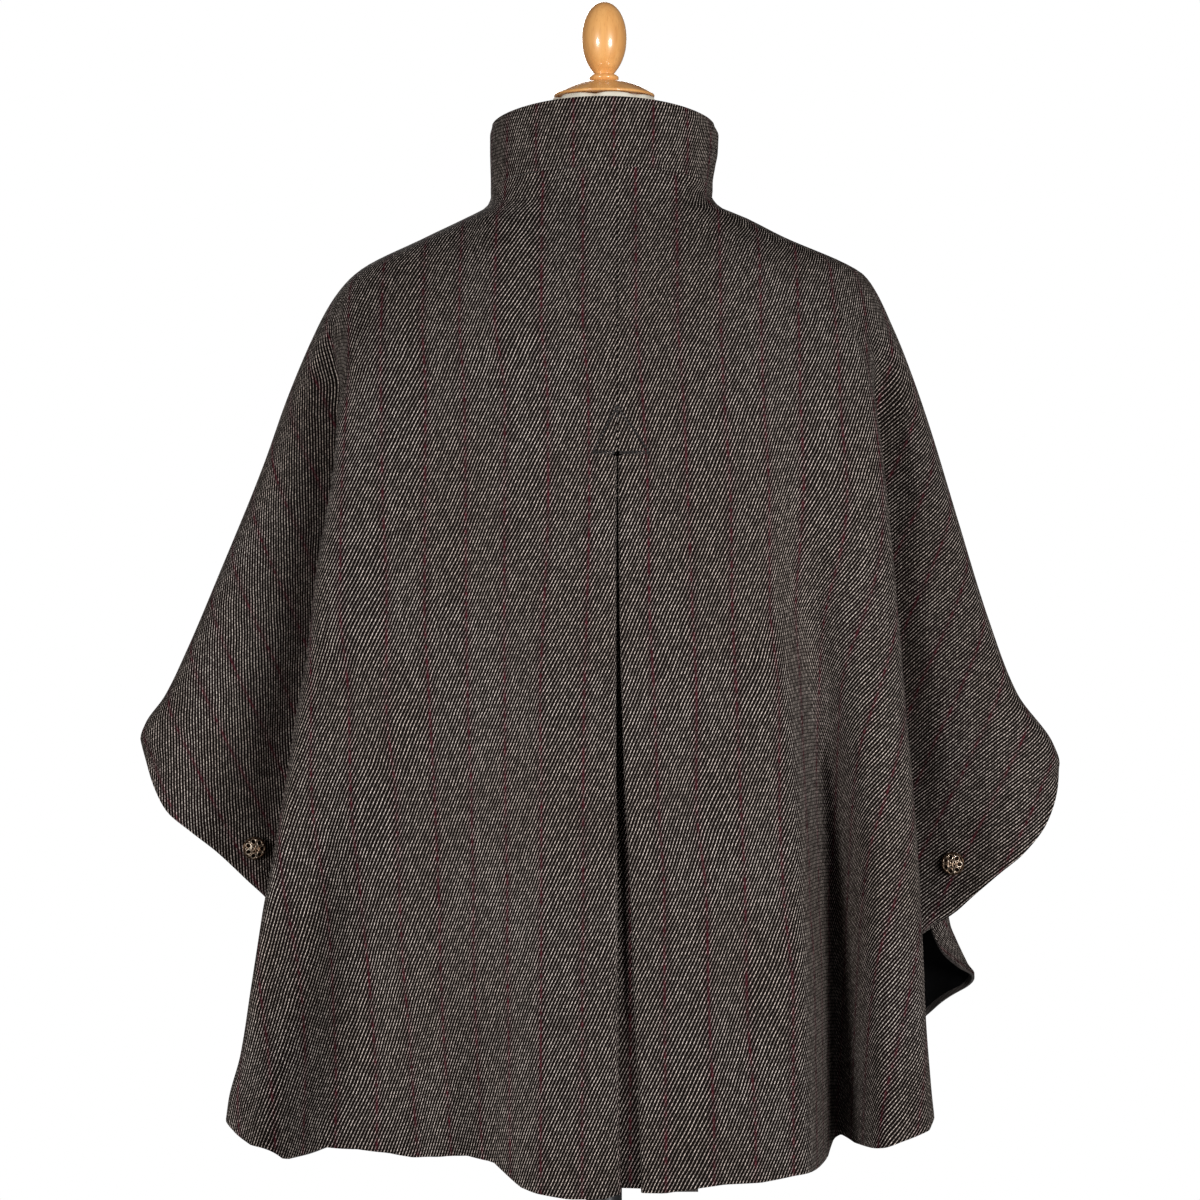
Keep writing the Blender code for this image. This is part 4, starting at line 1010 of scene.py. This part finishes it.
def back_depth_at(side, x, z):
    """Depth of a back's face near its centre line."""
    start = body_start(side, z)
    share = (x - start) / (column(BACK_WIDTHS[side], "ridge", z) * MM - start)
    return body_points(BACK_DEPTH, BACK_WIDTHS[side], start, start, BACK_FOLDS[side], share, z).imag


def neck_dipped(points, width):
    """Lowers the top rows at the sides, so that the neck seam dips there."""
    x, y, z = points[..., 0], points[..., 1], points[..., 2]
    across = np.clip(np.abs(x) / (column(width, "edge", z) * MM), 0, 1)
    dip = NECK_DIP * across ** 3 * smooth(NECK_DIP_ENDS, NECK_Z, z)
    return np.stack([x, y, z - dip], axis=-1)


# Soft folds round the neck, over its seam: angle from the front by the left, height, lean, depth, width.
NeckFold = namedtuple("NeckFold", "angle z lean depth half_width")
NECK_FOLDS = table(
    NeckFold,
    (216, 1446, -1.1, 1.8, 6), (228, 1458, -0.8, -1.0, 9), (262, 1446, 0.4, 1.6, 7),
    (150, 1436, 1.0, 1.5, 7), (110, 1452, -0.6, 1.0, 8), (58, 1452, 0.7, 1.0, 9),
    (300, 1452, -0.7, 1.1, 9),
)
NECK_RADIUS = 0.085
NECK_FOLD_REACH = 0.018


def outward_from_axis(points):
    return unit(points * np.array([1, 1, 0]))


def folded_neck(points):
    """Presses the neck's folds in along lines that lean over its height."""
    angle = np.arctan2(points[..., 0], -points[..., 1]) % (2 * math.pi)
    shift = np.zeros(points.shape[:2])
    for fold in NECK_FOLDS:
        height = points[..., 2] - fold.z * MM
        off = (angle - math.radians(fold.angle)) * NECK_RADIUS - height * fold.lean
        ends = np.exp(-(height / NECK_FOLD_REACH) ** 2)
        shift += fold.depth * MM * ends * np.exp(-(off / (fold.half_width * MM)) ** 2)
    return points - outward_from_axis(points) * shift[..., None]


TAIL_HEM_RISE = 0.0012    # the hem rises this much from each place of the tail to the next


def back_points(side):
    """Grid of points of one back, at +X: the return, the lip of the pleat, the body and the tail."""
    body = BODY[side][None, :]
    width, folds = BACK_WIDTHS[side], BACK_FOLDS[side]
    hem = HEM_BACK[side]
    start = body_start(side, HEM_Z)
    body_x = between(start, column(width, "ridge", HEM_Z) * MM, BODY[side]) / MM
    body_hem = np.interp(body_x, [h.x for h in hem], [h.z for h in hem]) * MM
    tail_hem = hem[-1].z * MM + (TAIL - 1) * TAIL_HEM_RISE
    z = heights(side, np.concatenate([body_hem, tail_hem]))
    z_body, z_tail = z[:, :body.shape[1]], z[:, body.shape[1]:]
    start = body_start(side, z_body)
    section = body_points(BACK_DEPTH, width, start, start, folds, body, z_body)
    start = body_start(side, z_tail)
    tail = tail_points(BACK_DEPTH, width, start, folds, TAIL[None, :], z_tail)
    tuck = column(TUCKS[side], "under", z_tail) + 1j * column(TUCKS[side], "deeper", z_tail)
    tail -= tuck * MM * np.exp(-((TAIL - TUCK_AT) / TUCK_SPREAD) ** 2)
    lift = column(LIFTS[side], "lift", z_tail) * MM
    tail += 1j * lift * np.exp(-((TAIL - LIFT_AT) / LIFT_SPREAD) ** 2)
    tail[:, -1] = tail[:, -1].real + 1j * np.maximum(tail[:, -1].imag, SEAM_CLOSE)
    first, z_first = section[:, :1], z_body[:, :1]
    lip = first + LIP_RADIUS * (-np.sin(LIP_TURN) + 1j * (np.cos(LIP_TURN) - 1))[None, :]
    under_x = first.real + RETURN_REACH[None, :]
    z_under = np.repeat(z_first, len(RETURN_REACH), axis=1)
    under = under_x + 1j * (back_depth_at(side, under_x, z_under) - RETURN_DEPTH)
    flat = np.concatenate([under[:, ::-1], lip[:, ::-1], section, tail], axis=1)
    z = np.concatenate([np.repeat(z_first, LIP_COLUMNS, axis=1), z], axis=1)
    return np.stack([flat.real, flat.imag, z], axis=-1)


def place_at(side, points, pivot):
    """Row and column of the point nearest to a pivot."""
    row = np.argmin(np.abs(panel_levels(side) - pivot[1]))
    return row, int(np.argmin(np.abs(np.abs(points[row, :, 0]) - pivot[0])))


SLEEVE_BLEND = (0.95, 1.9)        # places between which the sleeve part's own lie takes over
FLUTE_BLEND = (-0.03, 0.02)       # the same across the deep valley, from its middle
FLUTE_ENDS = (1.05, 1.27)


def panel_flat(side, points, across, along, tail_at, shift=0.0, flute=False):
    """Flat places of a panel's points: the body as it hangs, and the sleeve part turned on its own."""
    pin = place_at(side, points, SLEEVE_PIVOT)
    crest = int(np.argmin(np.abs(tail_at - 3)))
    sleeve = turned_flat(points, crest, SLEEVE_TURN, SLEEVE_PIVOT, across[pin] + shift, along[pin])
    share = smooth(*SLEEVE_BLEND, tail_at)[None, :] * (1 - smooth(*SLEEVE_TURN_ENDS, points[..., 2]))
    if flute:
        pin = place_at(side, points, FLUTE_PIVOT)
        ridge = int(np.argmin(np.abs(tail_at - 1)))
        beyond = turned_flat(points, ridge, FLUTE_TURN, FLUTE_PIVOT, across[pin], along[pin])
        valley = column(DEEP_VALLEY_RIGHT, "x", points[..., 2]) * MM
        past = smooth(*FLUTE_BLEND, np.abs(points[..., 0]) - valley)
        past = past * (1 - smooth(*FLUTE_ENDS, points[..., 2]))
        past[:, :LIP_COLUMNS] = 0
        across, along = between(across, beyond[0], past), between(along, beyond[1], past)
    return between(across, sleeve[0], share), between(along, sleeve[1], share)


SLEEVE_SHIFT = 0.022      # keeps the weave from spreading in two of the gutters
LIE_SHARE = 0.75          # how much of the left folds' depth the weave gives way to


def make_back(side):
    """One back, laid flat so that the weave hangs straight on the body and turned on the sleeve."""
    points = back_points(side)
    tail_at = np.concatenate([np.zeros(LIP_COLUMNS), BODY[side], TAIL])
    lie = points.copy()
    if side == "left":
        pressed = fold_depth(BACK_FOLDS[side], lie[..., 0], lie[..., 2]) * LIE_SHARE
        lie[..., 1] += np.where((tail_at > 0) & (tail_at <= 1), pressed, 0.0)
    across = stripe_lengths(side, points, row_lengths(lie, LIP_COLUMNS))
    along = -column_lengths(points)
    if side == "left":
        across, along = panel_flat(side, points, across, along, tail_at, shift=SLEEVE_SHIFT)
    else:
        across, along = panel_flat(side, points, across, along, tail_at, flute=True)
    points = neck_dipped(creased(points, CREASES_BACK[side], TO_BACK), BACK_WIDTHS[side])
    if side == "right":
        points[..., 0] *= -1
    else:
        across = -across
    sewn = int(np.sum(panel_levels(side) >= PLEAT_TOP_Z - PLEAT_OPENING - SAME_LEVEL)) - 1
    return cloth_piece(f"back_{side}", folded_neck(points), np.stack([across, along], axis=-1), TO_BACK,
                       sewn, mirrored=side == "right")


UNDERLAY_SAG = 0.008
UNDERLAY_SAG_HALF_WIDTH = 0.022
UNDERLAY_SAG_ENDS = (0.9, 1.15)
UNDERLAY_STRIPE_X = 0.012         # a pinstripe of the underlay runs here


def make_underlay():
    """The strip behind the pleat, joined to the ends of both returns."""
    z = spaced([PLEAT_TOP_Z + UNDERLAY_ABOVE, UNDERLAY_HEM_Z], UNDERLAY_PITCH)[:, None]
    reach = np.linspace(1, 0, 9)[None, :]
    halves = []
    for side, sign in (("right", -1), ("left", 1)):
        x = centre_line(side, z) + LIP_RADIUS + reach * RETURN_WIDTH
        level = np.repeat(z, x.shape[1], axis=1)
        sag = UNDERLAY_SAG * (1 - smooth(*UNDERLAY_SAG_ENDS, level))
        sag = sag * np.exp(-(x / UNDERLAY_SAG_HALF_WIDTH) ** 2)
        y = back_depth_at(side, x, level) - UNDERLAY_DROP - sag
        half = np.stack([sign * x, y, level], axis=-1)
        halves.append(half if side == "right" else half[:, ::-1])
    points = np.concatenate(halves, axis=1)
    flat = np.stack([UNDERLAY_STRIPE_X - points[..., 0], points[..., 2]], axis=-1)
    return cloth_piece("pleat_underlay", points, flat, TO_BACK)


for side in SIDES:
    make_back(side)
make_underlay()

# ---------------------------------------------------------------------------- fronts

PLACKET = np.linspace(-OVERLAP, PLACKET_HALF, 15)


def front_points(side):
    """Grid of points of one front, at +X: the placket, the body and the tail."""
    width = FRONT_WIDTHS[side]
    shift = UNDERLAP_SHIFT if side == "left" else 0.0
    places = np.concatenate([BODY_FRONT, TAIL])
    hem = np.interp(places, [h.x for h in HEM_FRONT], [h.z for h in HEM_FRONT]) * MM
    z = heights(side, np.concatenate([np.full(len(PLACKET), hem[0]), hem]))
    z_flat, z_body, z_tail = np.split(z, [len(PLACKET), len(PLACKET) + len(BODY_FRONT)], axis=1)
    body = body_points(FRONT_DEPTH, width, 0.0, FRONT_BODY_START, (), BODY_FRONT[None, :], z_body)
    tail = tail_points(FRONT_DEPTH, width, 0.0, (), TAIL[None, :], z_tail)
    edge = np.where(np.abs(tail[:, -1].imag) < SEAM_GAP, SEAM_CLOSE, tail[:, -1].imag)
    tail[:, -1] = tail[:, -1].real + 1j * edge
    flat = PLACKET[None, :] + 1j * (column(FRONT_DEPTH, "centre", z_flat) * MM - shift)
    section = np.concatenate([flat, body, tail], axis=1)
    return np.stack([section.real, -section.imag, z], axis=-1)


def front_grid(side):
    """Points and flat places of one front, at +X for the left and mirrored for the right."""
    points = front_points(side)
    across = row_lengths(points, 0) - OVERLAP
    along = -column_lengths(points)
    tail_at = np.concatenate([np.zeros(len(PLACKET)), BODY_FRONT, TAIL])
    shift = SLEEVE_SHIFT if side == "right" else 0.0
    across, along = panel_flat(side, points, across, along, tail_at, shift=shift)
    points = neck_dipped(creased(points, CREASES_FRONT[side], TO_FRONT), FRONT_WIDTHS[side])
    if side == "right":
        points[..., 0] *= -1
        across = -across
    return folded_neck(points), np.stack([across, along], axis=-1)


LINING_TOP_Z = 1.10
LINING_FIRST_X = 0.11
LINING_SHORT = 12         # columns from its side to the wool's
LINING_SKIRT = SKIRT_ROWS - 3     # it stops three rows above the hem
LINING_EASE = 0.0012      # the lining hangs a little loose of the wool


def make_front_lining():
    """The black lining inside the right front, from below the chest to just above the hem."""
    points, flat = front_grid("right")
    inner = points - outward_normals(points, TO_FRONT) * (WALL + 2 * SEAM_GAP + LINING_EASE)
    last = len(panel_levels("right")) - 1
    rows = int(np.argmax(points[:, 0, 2] < LINING_TOP_Z))
    start = int(np.argmax(np.abs(points[last, :, 0]) > LINING_FIRST_X))
    lined = (slice(rows, last + LINING_SKIRT), slice(start, -LINING_SHORT))
    return cloth_piece("front_lining_right", inner[lined], flat[lined], TO_FRONT)


for side in SIDES:
    cloth_piece(f"front_{side}", *front_grid(side), TO_FRONT)
make_front_lining()

# ---------------------------------------------------------------------------- collar

COLLAR_AROUND = 168
COLLAR_UP = 26
LAP_COLUMNS = 8
COLLAR_STRIPE_SHIFT = 0.0075


def make_collar():
    """The stand collar, lapped at the centre front, with soft folds at its sides."""
    share = np.linspace(1, 0, COLLAR_UP + 1)[:, None]
    angle = np.linspace(COLLAR_START, 2 * math.pi - COLLAR_START, COLLAR_AROUND + 1)[None, :]
    across, along = np.sin(angle), -np.cos(angle)
    half = np.where(across > 0, column(COLLAR_RINGS, "left", share), column(COLLAR_RINGS, "right", share))
    depth = np.where(along > 0, column(COLLAR_RINGS, "back", share), column(COLLAR_RINGS, "front", share))
    rise = np.where(along > 0, COLLAR_RISE_BACK, COLLAR_RISE_FRONT) * np.abs(along) ** 1.5
    dip = NECK_DIP * np.abs(across) ** 3 * (1 - share) ** 2
    z = NECK_Z - SEAM_GAP + (COLLAR_HEIGHT + rise) * share - dip
    x, y, z = np.broadcast_arrays(half * MM * across, depth * MM * along, z)
    ring = np.stack([x, y, z], axis=-1)

    def lap(places, shift):
        level = COLLAR_HEIGHT + COLLAR_RISE_FRONT
        front = column(COLLAR_RINGS, "front", share) * MM
        x, y, z = np.broadcast_arrays(places[None, :], shift - front, NECK_Z - SEAM_GAP + level * share)
        return np.stack([x, y, z], axis=-1)

    under = lap(np.linspace(-OVERLAP, PLACKET_HALF, LAP_COLUMNS), UNDERLAP_SHIFT)
    over = lap(np.linspace(-PLACKET_HALF, OVERLAP, LAP_COLUMNS), 0.0)
    points = folded_neck(np.concatenate([under, ring, over], axis=1))
    across = row_lengths(points, points.shape[1] // 2) - COLLAR_STRIPE_SHIFT
    flat = np.stack([across, points[..., 2]], axis=-1)
    return cloth_piece("collar", points, flat, outward_from_axis(points))


make_collar()

# ---------------------------------------------------------------------------- turned pieces


def lathed(name, profile, around, finish):
    """A turned solid: the rings of a sphere primitive are set to the radii and heights of a profile."""
    deselect()
    bpy.ops.mesh.primitive_uv_sphere_add(segments=around, ring_count=len(profile) - 1, radius=1)
    made = bpy.context.object
    made.name = made.data.name = name
    order = sorted(made.data.vertices, key=lambda vert: -vert.co.z)
    rings = [order[:1]] + [order[1 + k * around:1 + (k + 1) * around] for k in range(len(profile) - 2)]
    rings.append(order[-1:])
    for ring, (radius, z) in zip(rings, profile):
        for vert in ring:
            way = vert.co.xy.normalized() if len(ring) > 1 else Vector((0, 0))
            vert.co = (way.x * radius, way.y * radius, z)
    made.data.materials.append(finish)
    return shaded(made, 40)


def rounded(points, per_span=6):
    """A smooth profile through (radius, height) points in millimetres, from the top down."""
    points = np.array(points, float) * MM
    lengths = np.concatenate([[0], np.cumsum(np.linalg.norm(np.diff(points, axis=0), axis=1))])
    last = len(points) - 1
    found = []
    for k in range(last):
        before, after = max(k - 1, 0), min(k + 2, last)
        start = (points[k + 1] - points[before]) / (lengths[k + 1] - lengths[before])
        end = (points[after] - points[k]) / (lengths[after] - lengths[k])
        for t in np.arange(per_span) / per_span:
            found.append(soft_curve(points[k], start, points[k + 1], end, t, lengths[k + 1] - lengths[k]))
    found.append(points[last])
    return [(max(0.0, radius), z) for radius, z in found]


FINIAL = ((0, 1576.4), (4.4, 1575.6), (8.6, 1573.0), (12.6, 1568.2), (15.6, 1561.6), (17.2, 1554.4),
          (17.6, 1547.4), (16.9, 1539.6), (14.8, 1532.0), (11.8, 1525.8), (9.2, 1522.2), (8.1, 1520.4),
          (8.4, 1519.6), (10.0, 1519.1), (11.3, 1517.8), (11.5, 1516.4), (10.6, 1514.9), (9.6, 1514.3),
          (0, 1514.3))
CAP = ((0, 1514), (9, 1514), (13.2, 1513.8), (22.2, 1512.3), (31.6, 1508.4), (37.0, 1505.3), (39.2, 1503.7),
       (39.4, 1502.6), (38.6, 1502.0), (36, 1501.9), (0, 1501.9))
POLE = ((0, 741.7), (13.4, 741.7), (14, 741.1), (14, 560), (14, 380), (14, 200), (14, 36.9), (13.4, 36.3),
        (0, 36.3))
BASE = ((0, 36), (23, 36), (24.4, 35), (26.5, 28), (31, 22), (42, 19), (60, 17.6), (116, 15.6), (170, 13.6),
        (176, 12.6), (179.4, 10), (180, 7), (179.6, 3), (177.5, 0.6), (175.5, 0), (0, 0))
CORNER_REACH = 0.25       # millimetres from a crisp corner to the points that hold it


def crisp(profile):
    """The profile with each corner held by a near point at both sides of it."""
    points = np.array(profile, float)
    found = [points[0]]
    for k in range(1, len(points) - 1):
        for other in (points[k - 1], points[k + 1]):
            way = other - points[k]
            length = np.linalg.norm(way)
            found.append(points[k] + way / length * min(CORNER_REACH, length / 3))
    found.append(points[-1])
    return [(max(0.0, radius) * MM, z * MM) for radius, z in found]


dressed(lathed("finial_wood", rounded(FINIAL), 64, WOOD), "form_finial")
dressed(lathed("neck_cap_wood", rounded(CAP), 80, WOOD), "form_neck_cap")
dressed(lathed("pole_painted", crisp(POLE), 48, PAINT), "stand_pole")
dressed(lathed("base_painted", crisp(BASE), 128, PAINT), "stand_base")

# ---------------------------------------------------------------------------- torso

FORM_NECK_TOP = 1.49
FORM_NECK_RISE = 0.0041   # the neck's cover shows between the coat's collar and the wooden cap


def make_torso():
    """The padded torso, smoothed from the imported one."""
    made = copied(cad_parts["form_torso"], Matrix.Identity(4))
    made.name = made.data.name = "form_torso_cover"
    for key in list(made.keys()):
        if key.startswith("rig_"):
            del made[key]
    only(made)
    work = bmesh.new()
    work.from_mesh(made.data)
    bmesh.ops.remove_doubles(work, verts=work.verts[:], dist=1e-5)
    bmesh.ops.join_triangles(work, faces=work.faces[:], angle_face_threshold=math.radians(30),
                             angle_shape_threshold=math.radians(60))
    work.to_mesh(made.data)
    work.free()
    made.data.materials.clear()
    made.data.materials.append(CANVAS)
    for vert in made.data.vertices:
        if vert.co.z > FORM_NECK_TOP:
            vert.co.z += FORM_NECK_RISE
    padding = made.modifiers.new("Padding", "SUBSURF")
    padding.levels = padding.render_levels = 2
    bpy.ops.object.modifier_apply(modifier=padding.name)
    return dressed(shaded(made), "form_torso")


make_torso()

# ---------------------------------------------------------------------------- buttons and sewing

Button = namedtuple("Button", "node shell x z")
BUTTONS = table(
    Button,
    ("sleeve_button_left", "back_left", 0.2705, 0.9185),
    ("sleeve_button_right", "back_right", -0.2700, 0.9065),
    ("collar_button", "collar", 0.0, 1.461),
    ("front_button_1", "front_right", 0.0, 1.375),
    ("front_button_2", "front_right", 0.0, 1.285),
    ("front_button_3", "front_right", 0.0, 1.195),
    ("front_button_4", "front_right", 0.0, 1.105),
)
BUTTON_SINK = 0.0016      # the shanks pull a little way into the cloth
PETALS = 7


def joined(pieces, name):
    """All the pieces as one, whose places are in their meshes."""
    only(pieces[0])
    for piece in pieces:
        piece.select_set(True)
    bpy.ops.object.join()
    made = bpy.context.object
    made.name = made.data.name = name
    return made


def dome_height(radius):
    """Height of the button's dome over its back, in millimetres."""
    return 4.4 + 3.6 * math.sqrt(max(0.0, 1 - (radius / 9.4) ** 2))


def in_brass(finish=None):
    """Gives the new primitive its brass and its place in its mesh."""
    made = only(bpy.context.object)
    made.data.materials.append(finish or BRASS_RELIEF)
    bpy.ops.object.transform_apply(location=True, rotation=True, scale=True)
    return made


def ring_piece(radius, thick, place, tilt=0.0, around=28, stretch=1.0, finish=None):
    """A ring of wire that lies level, or tilted and stretched outwards."""
    deselect()
    bpy.ops.mesh.primitive_torus_add(major_segments=around, minor_segments=8,
                                     major_radius=radius * MM, minor_radius=thick * MM,
                                     location=[p * MM for p in place], rotation=(0, tilt, 0))
    bpy.context.object.scale.x = stretch
    return in_brass(finish)


def bead(radius, place):
    deselect()
    bpy.ops.mesh.primitive_uv_sphere_add(segments=14, ring_count=8, radius=radius * MM,
                                         location=[p * MM for p in place])
    return in_brass()


def round_middle(piece, count, turn=0.0):
    """Copies of a piece evenly round the button's middle, in place of it."""
    made = [copied(piece, Matrix.Rotation(2 * math.pi * k / count + turn, 4, "Z")) for k in range(count)]
    bpy.data.objects.remove(piece)
    return made


BUTTON_BACK = ((0, 5.6), (3.0, 5.5), (5.6, 5.1), (7.4, 4.6), (8.5, 4.1), (8.6, 3.7), (8.0, 3.4), (2.2, 3.3),
               (2.0, 3.0), (2.0, 0.2), (1.8, 0.0), (0, 0))


def button_pattern():
    """A domed openwork button: a dark back, a rim and a ring of pierced petals round a beaded boss."""
    back = lathed("button_back", rounded(BUTTON_BACK, 3), 40, BRASS_GROUND)
    rim = ring_piece(8.15, 0.85, (0, 0, 4.5), around=48, finish=BRASS_RIM)
    boss = ring_piece(3.1, 0.5, (0, 0, dome_height(3.1)))
    petal = ring_piece(1.9, 0.36, (5.55, 0, dome_height(5.55) - 0.1), tilt=0.42, around=20, stretch=1.12)
    petals = round_middle(petal, PETALS)
    studs = round_middle(bead(0.72, (6.9, 0, dome_height(6.9))), PETALS, math.pi / PETALS)
    cluster = round_middle(bead(0.8, (1.75, 0, 7.75)), 5) + [bead(1.15, (0, 0, 7.6))]
    return joined([back, rim, boss, *petals, *studs, *cluster], "button_pattern")


def sewn_on(pattern, button):
    """A copy of the button, sunk a little into the face of its cloth."""
    way = Vector((0, -1, 0)) if button.shell.startswith("back") else Vector((0, 1, 0))
    place, normal, _, _ = SHELLS[button.shell].ray_cast(Vector((button.x, -way.y, button.z)), way)
    if normal.dot(way) > 0:
        normal = -normal
    turn = normal.to_track_quat("Z", "Y").to_matrix().to_4x4()
    made = copied(pattern, Matrix.Translation(place - normal * BUTTON_SINK) @ turn)
    made.name = made.data.name = f"{button.node}_brass"
    return dressed(shaded(made), button.node)


button_model = button_pattern()
for button in BUTTONS:
    sewn_on(button_model, button)
bpy.data.objects.remove(button_model)

STITCH_LENGTH = 2.6
STITCH_PITCH = 2.9
Line = namedtuple("Line", "x0 z0 x1 z1 thick")
ARROWHEAD = table(
    Line,
    (-9.6, 1254.5, 8.0, 1220.2, 1.0), (-9.6, 1254.5, -32.8, 1220.2, 1.0), (-8.8, 1254.8, -10.4, 1245.0, 1.1),
    (9.0, 1220.0, -33.8, 1220.0, 0.9), (9.0, 1218.8, -33.8, 1218.8, 0.7), (-9.8, 1230, -9.8, 1220.5, 0.8),
)


def make_stitches(name, lines):
    """Hand stitches of dark thread along lines on the back, each a small sunken grain."""
    deselect()
    bpy.ops.mesh.primitive_uv_sphere_add(segments=8, ring_count=6, radius=1.0)
    bpy.ops.object.shade_smooth()
    grain = bpy.context.object
    grain.data.materials.append(THREAD)
    stitches = []
    for line in lines:
        start, end = Vector((line.x0, line.z0)), Vector((line.x1, line.z1))
        way = Vector((end.x - start.x, 0, end.y - start.y)).normalized()
        size = Matrix.Diagonal((line.thick * MM, line.thick * MM, STITCH_LENGTH * MM / 2, 1))
        shape = way.to_track_quat("Z", "Y").to_matrix().to_4x4() @ size
        count = max(1, round((end - start).length / STITCH_PITCH))
        for k in range(count):
            middle = start.lerp(end, (k + 0.5) / count)
            shell = SHELLS["back_left" if middle.x > CENTRE_SEAM_X else "back_right"]
            place = shell.ray_cast(Vector((middle.x * MM, 1.0, middle.y * MM)), Vector((0, -1, 0)))[0]
            if place is not None:
                stitches.append(copied(grain, Matrix.Translation(place) @ shape))
    bpy.data.objects.remove(grain)
    return dressed(joined(stitches, name), None)


make_stitches("pleat_arrowhead_stitches", ARROWHEAD)

# ---------------------------------------------------------------------------- studio

WORLD_LIGHT = 0.10        # what the white around it gives the coat
LIT_PLACE = Vector((0, 0, 1.10))
CAMERA_PLACE = (0.0031, 2.7, 1.11)
CAMERA_LENS = 103.85


def make_studio():
    """The floor, and a world that is white to the camera but lights the coat only a little."""
    deselect()
    bpy.ops.mesh.primitive_cylinder_add(vertices=96, radius=1.3, depth=0.02, location=(0, 0, -0.0105))
    floor = bpy.context.object
    floor.name = "studio_floor"
    floor.data.materials.append(studio_floor())
    world = bpy.data.worlds.new("white studio")
    bpy.context.scene.world = world
    world.use_nodes = True
    nodes, links = world.node_tree.nodes, world.node_tree.links
    back = nodes["Background"]
    back.inputs["Color"].default_value = (1, 1, 1, 1)
    path = nodes.new("ShaderNodeLightPath")
    strength = nodes.new("ShaderNodeMapRange")
    strength.inputs["To Min"].default_value = WORLD_LIGHT
    links.new(path.outputs["Is Camera Ray"], strength.inputs["Value"])
    links.new(strength.outputs[0], back.inputs["Strength"])


def soft_light(name, place, size, power, spread):
    """A round soft light that faces the middle of the coat."""
    light = bpy.data.lights.new(name, "AREA")
    light.shape = "DISK"
    light.size = size
    light.energy = power
    light.spread = math.radians(spread)
    made = bpy.data.objects.new(name, light)
    made.location = place
    made.rotation_euler = (LIT_PLACE - Vector(place)).to_track_quat("-Z", "Y").to_euler()
    bpy.context.scene.collection.objects.link(made)


def make_camera():
    """Level, straight behind the coat."""
    camera = bpy.data.cameras.new("Camera")
    camera.sensor_width = 36
    camera.lens = CAMERA_LENS
    made = bpy.data.objects.new("Camera", camera)
    made.location = CAMERA_PLACE
    made.rotation_euler = (math.radians(90), 0, math.radians(180))
    bpy.context.scene.collection.objects.link(made)
    bpy.context.scene.camera = made


make_studio()
soft_light("key", (-1.85, 2.85, 1.25), 1.0, 7.4, 46)
soft_light("fill", (1.85, 2.85, 1.3), 1.0, 5.2, 46)
soft_light("front_fill", (0.6, -3.2, 2.2), 1.8, 60, 180)
make_camera()
bpy.context.scene.view_settings.view_transform = "Standard"
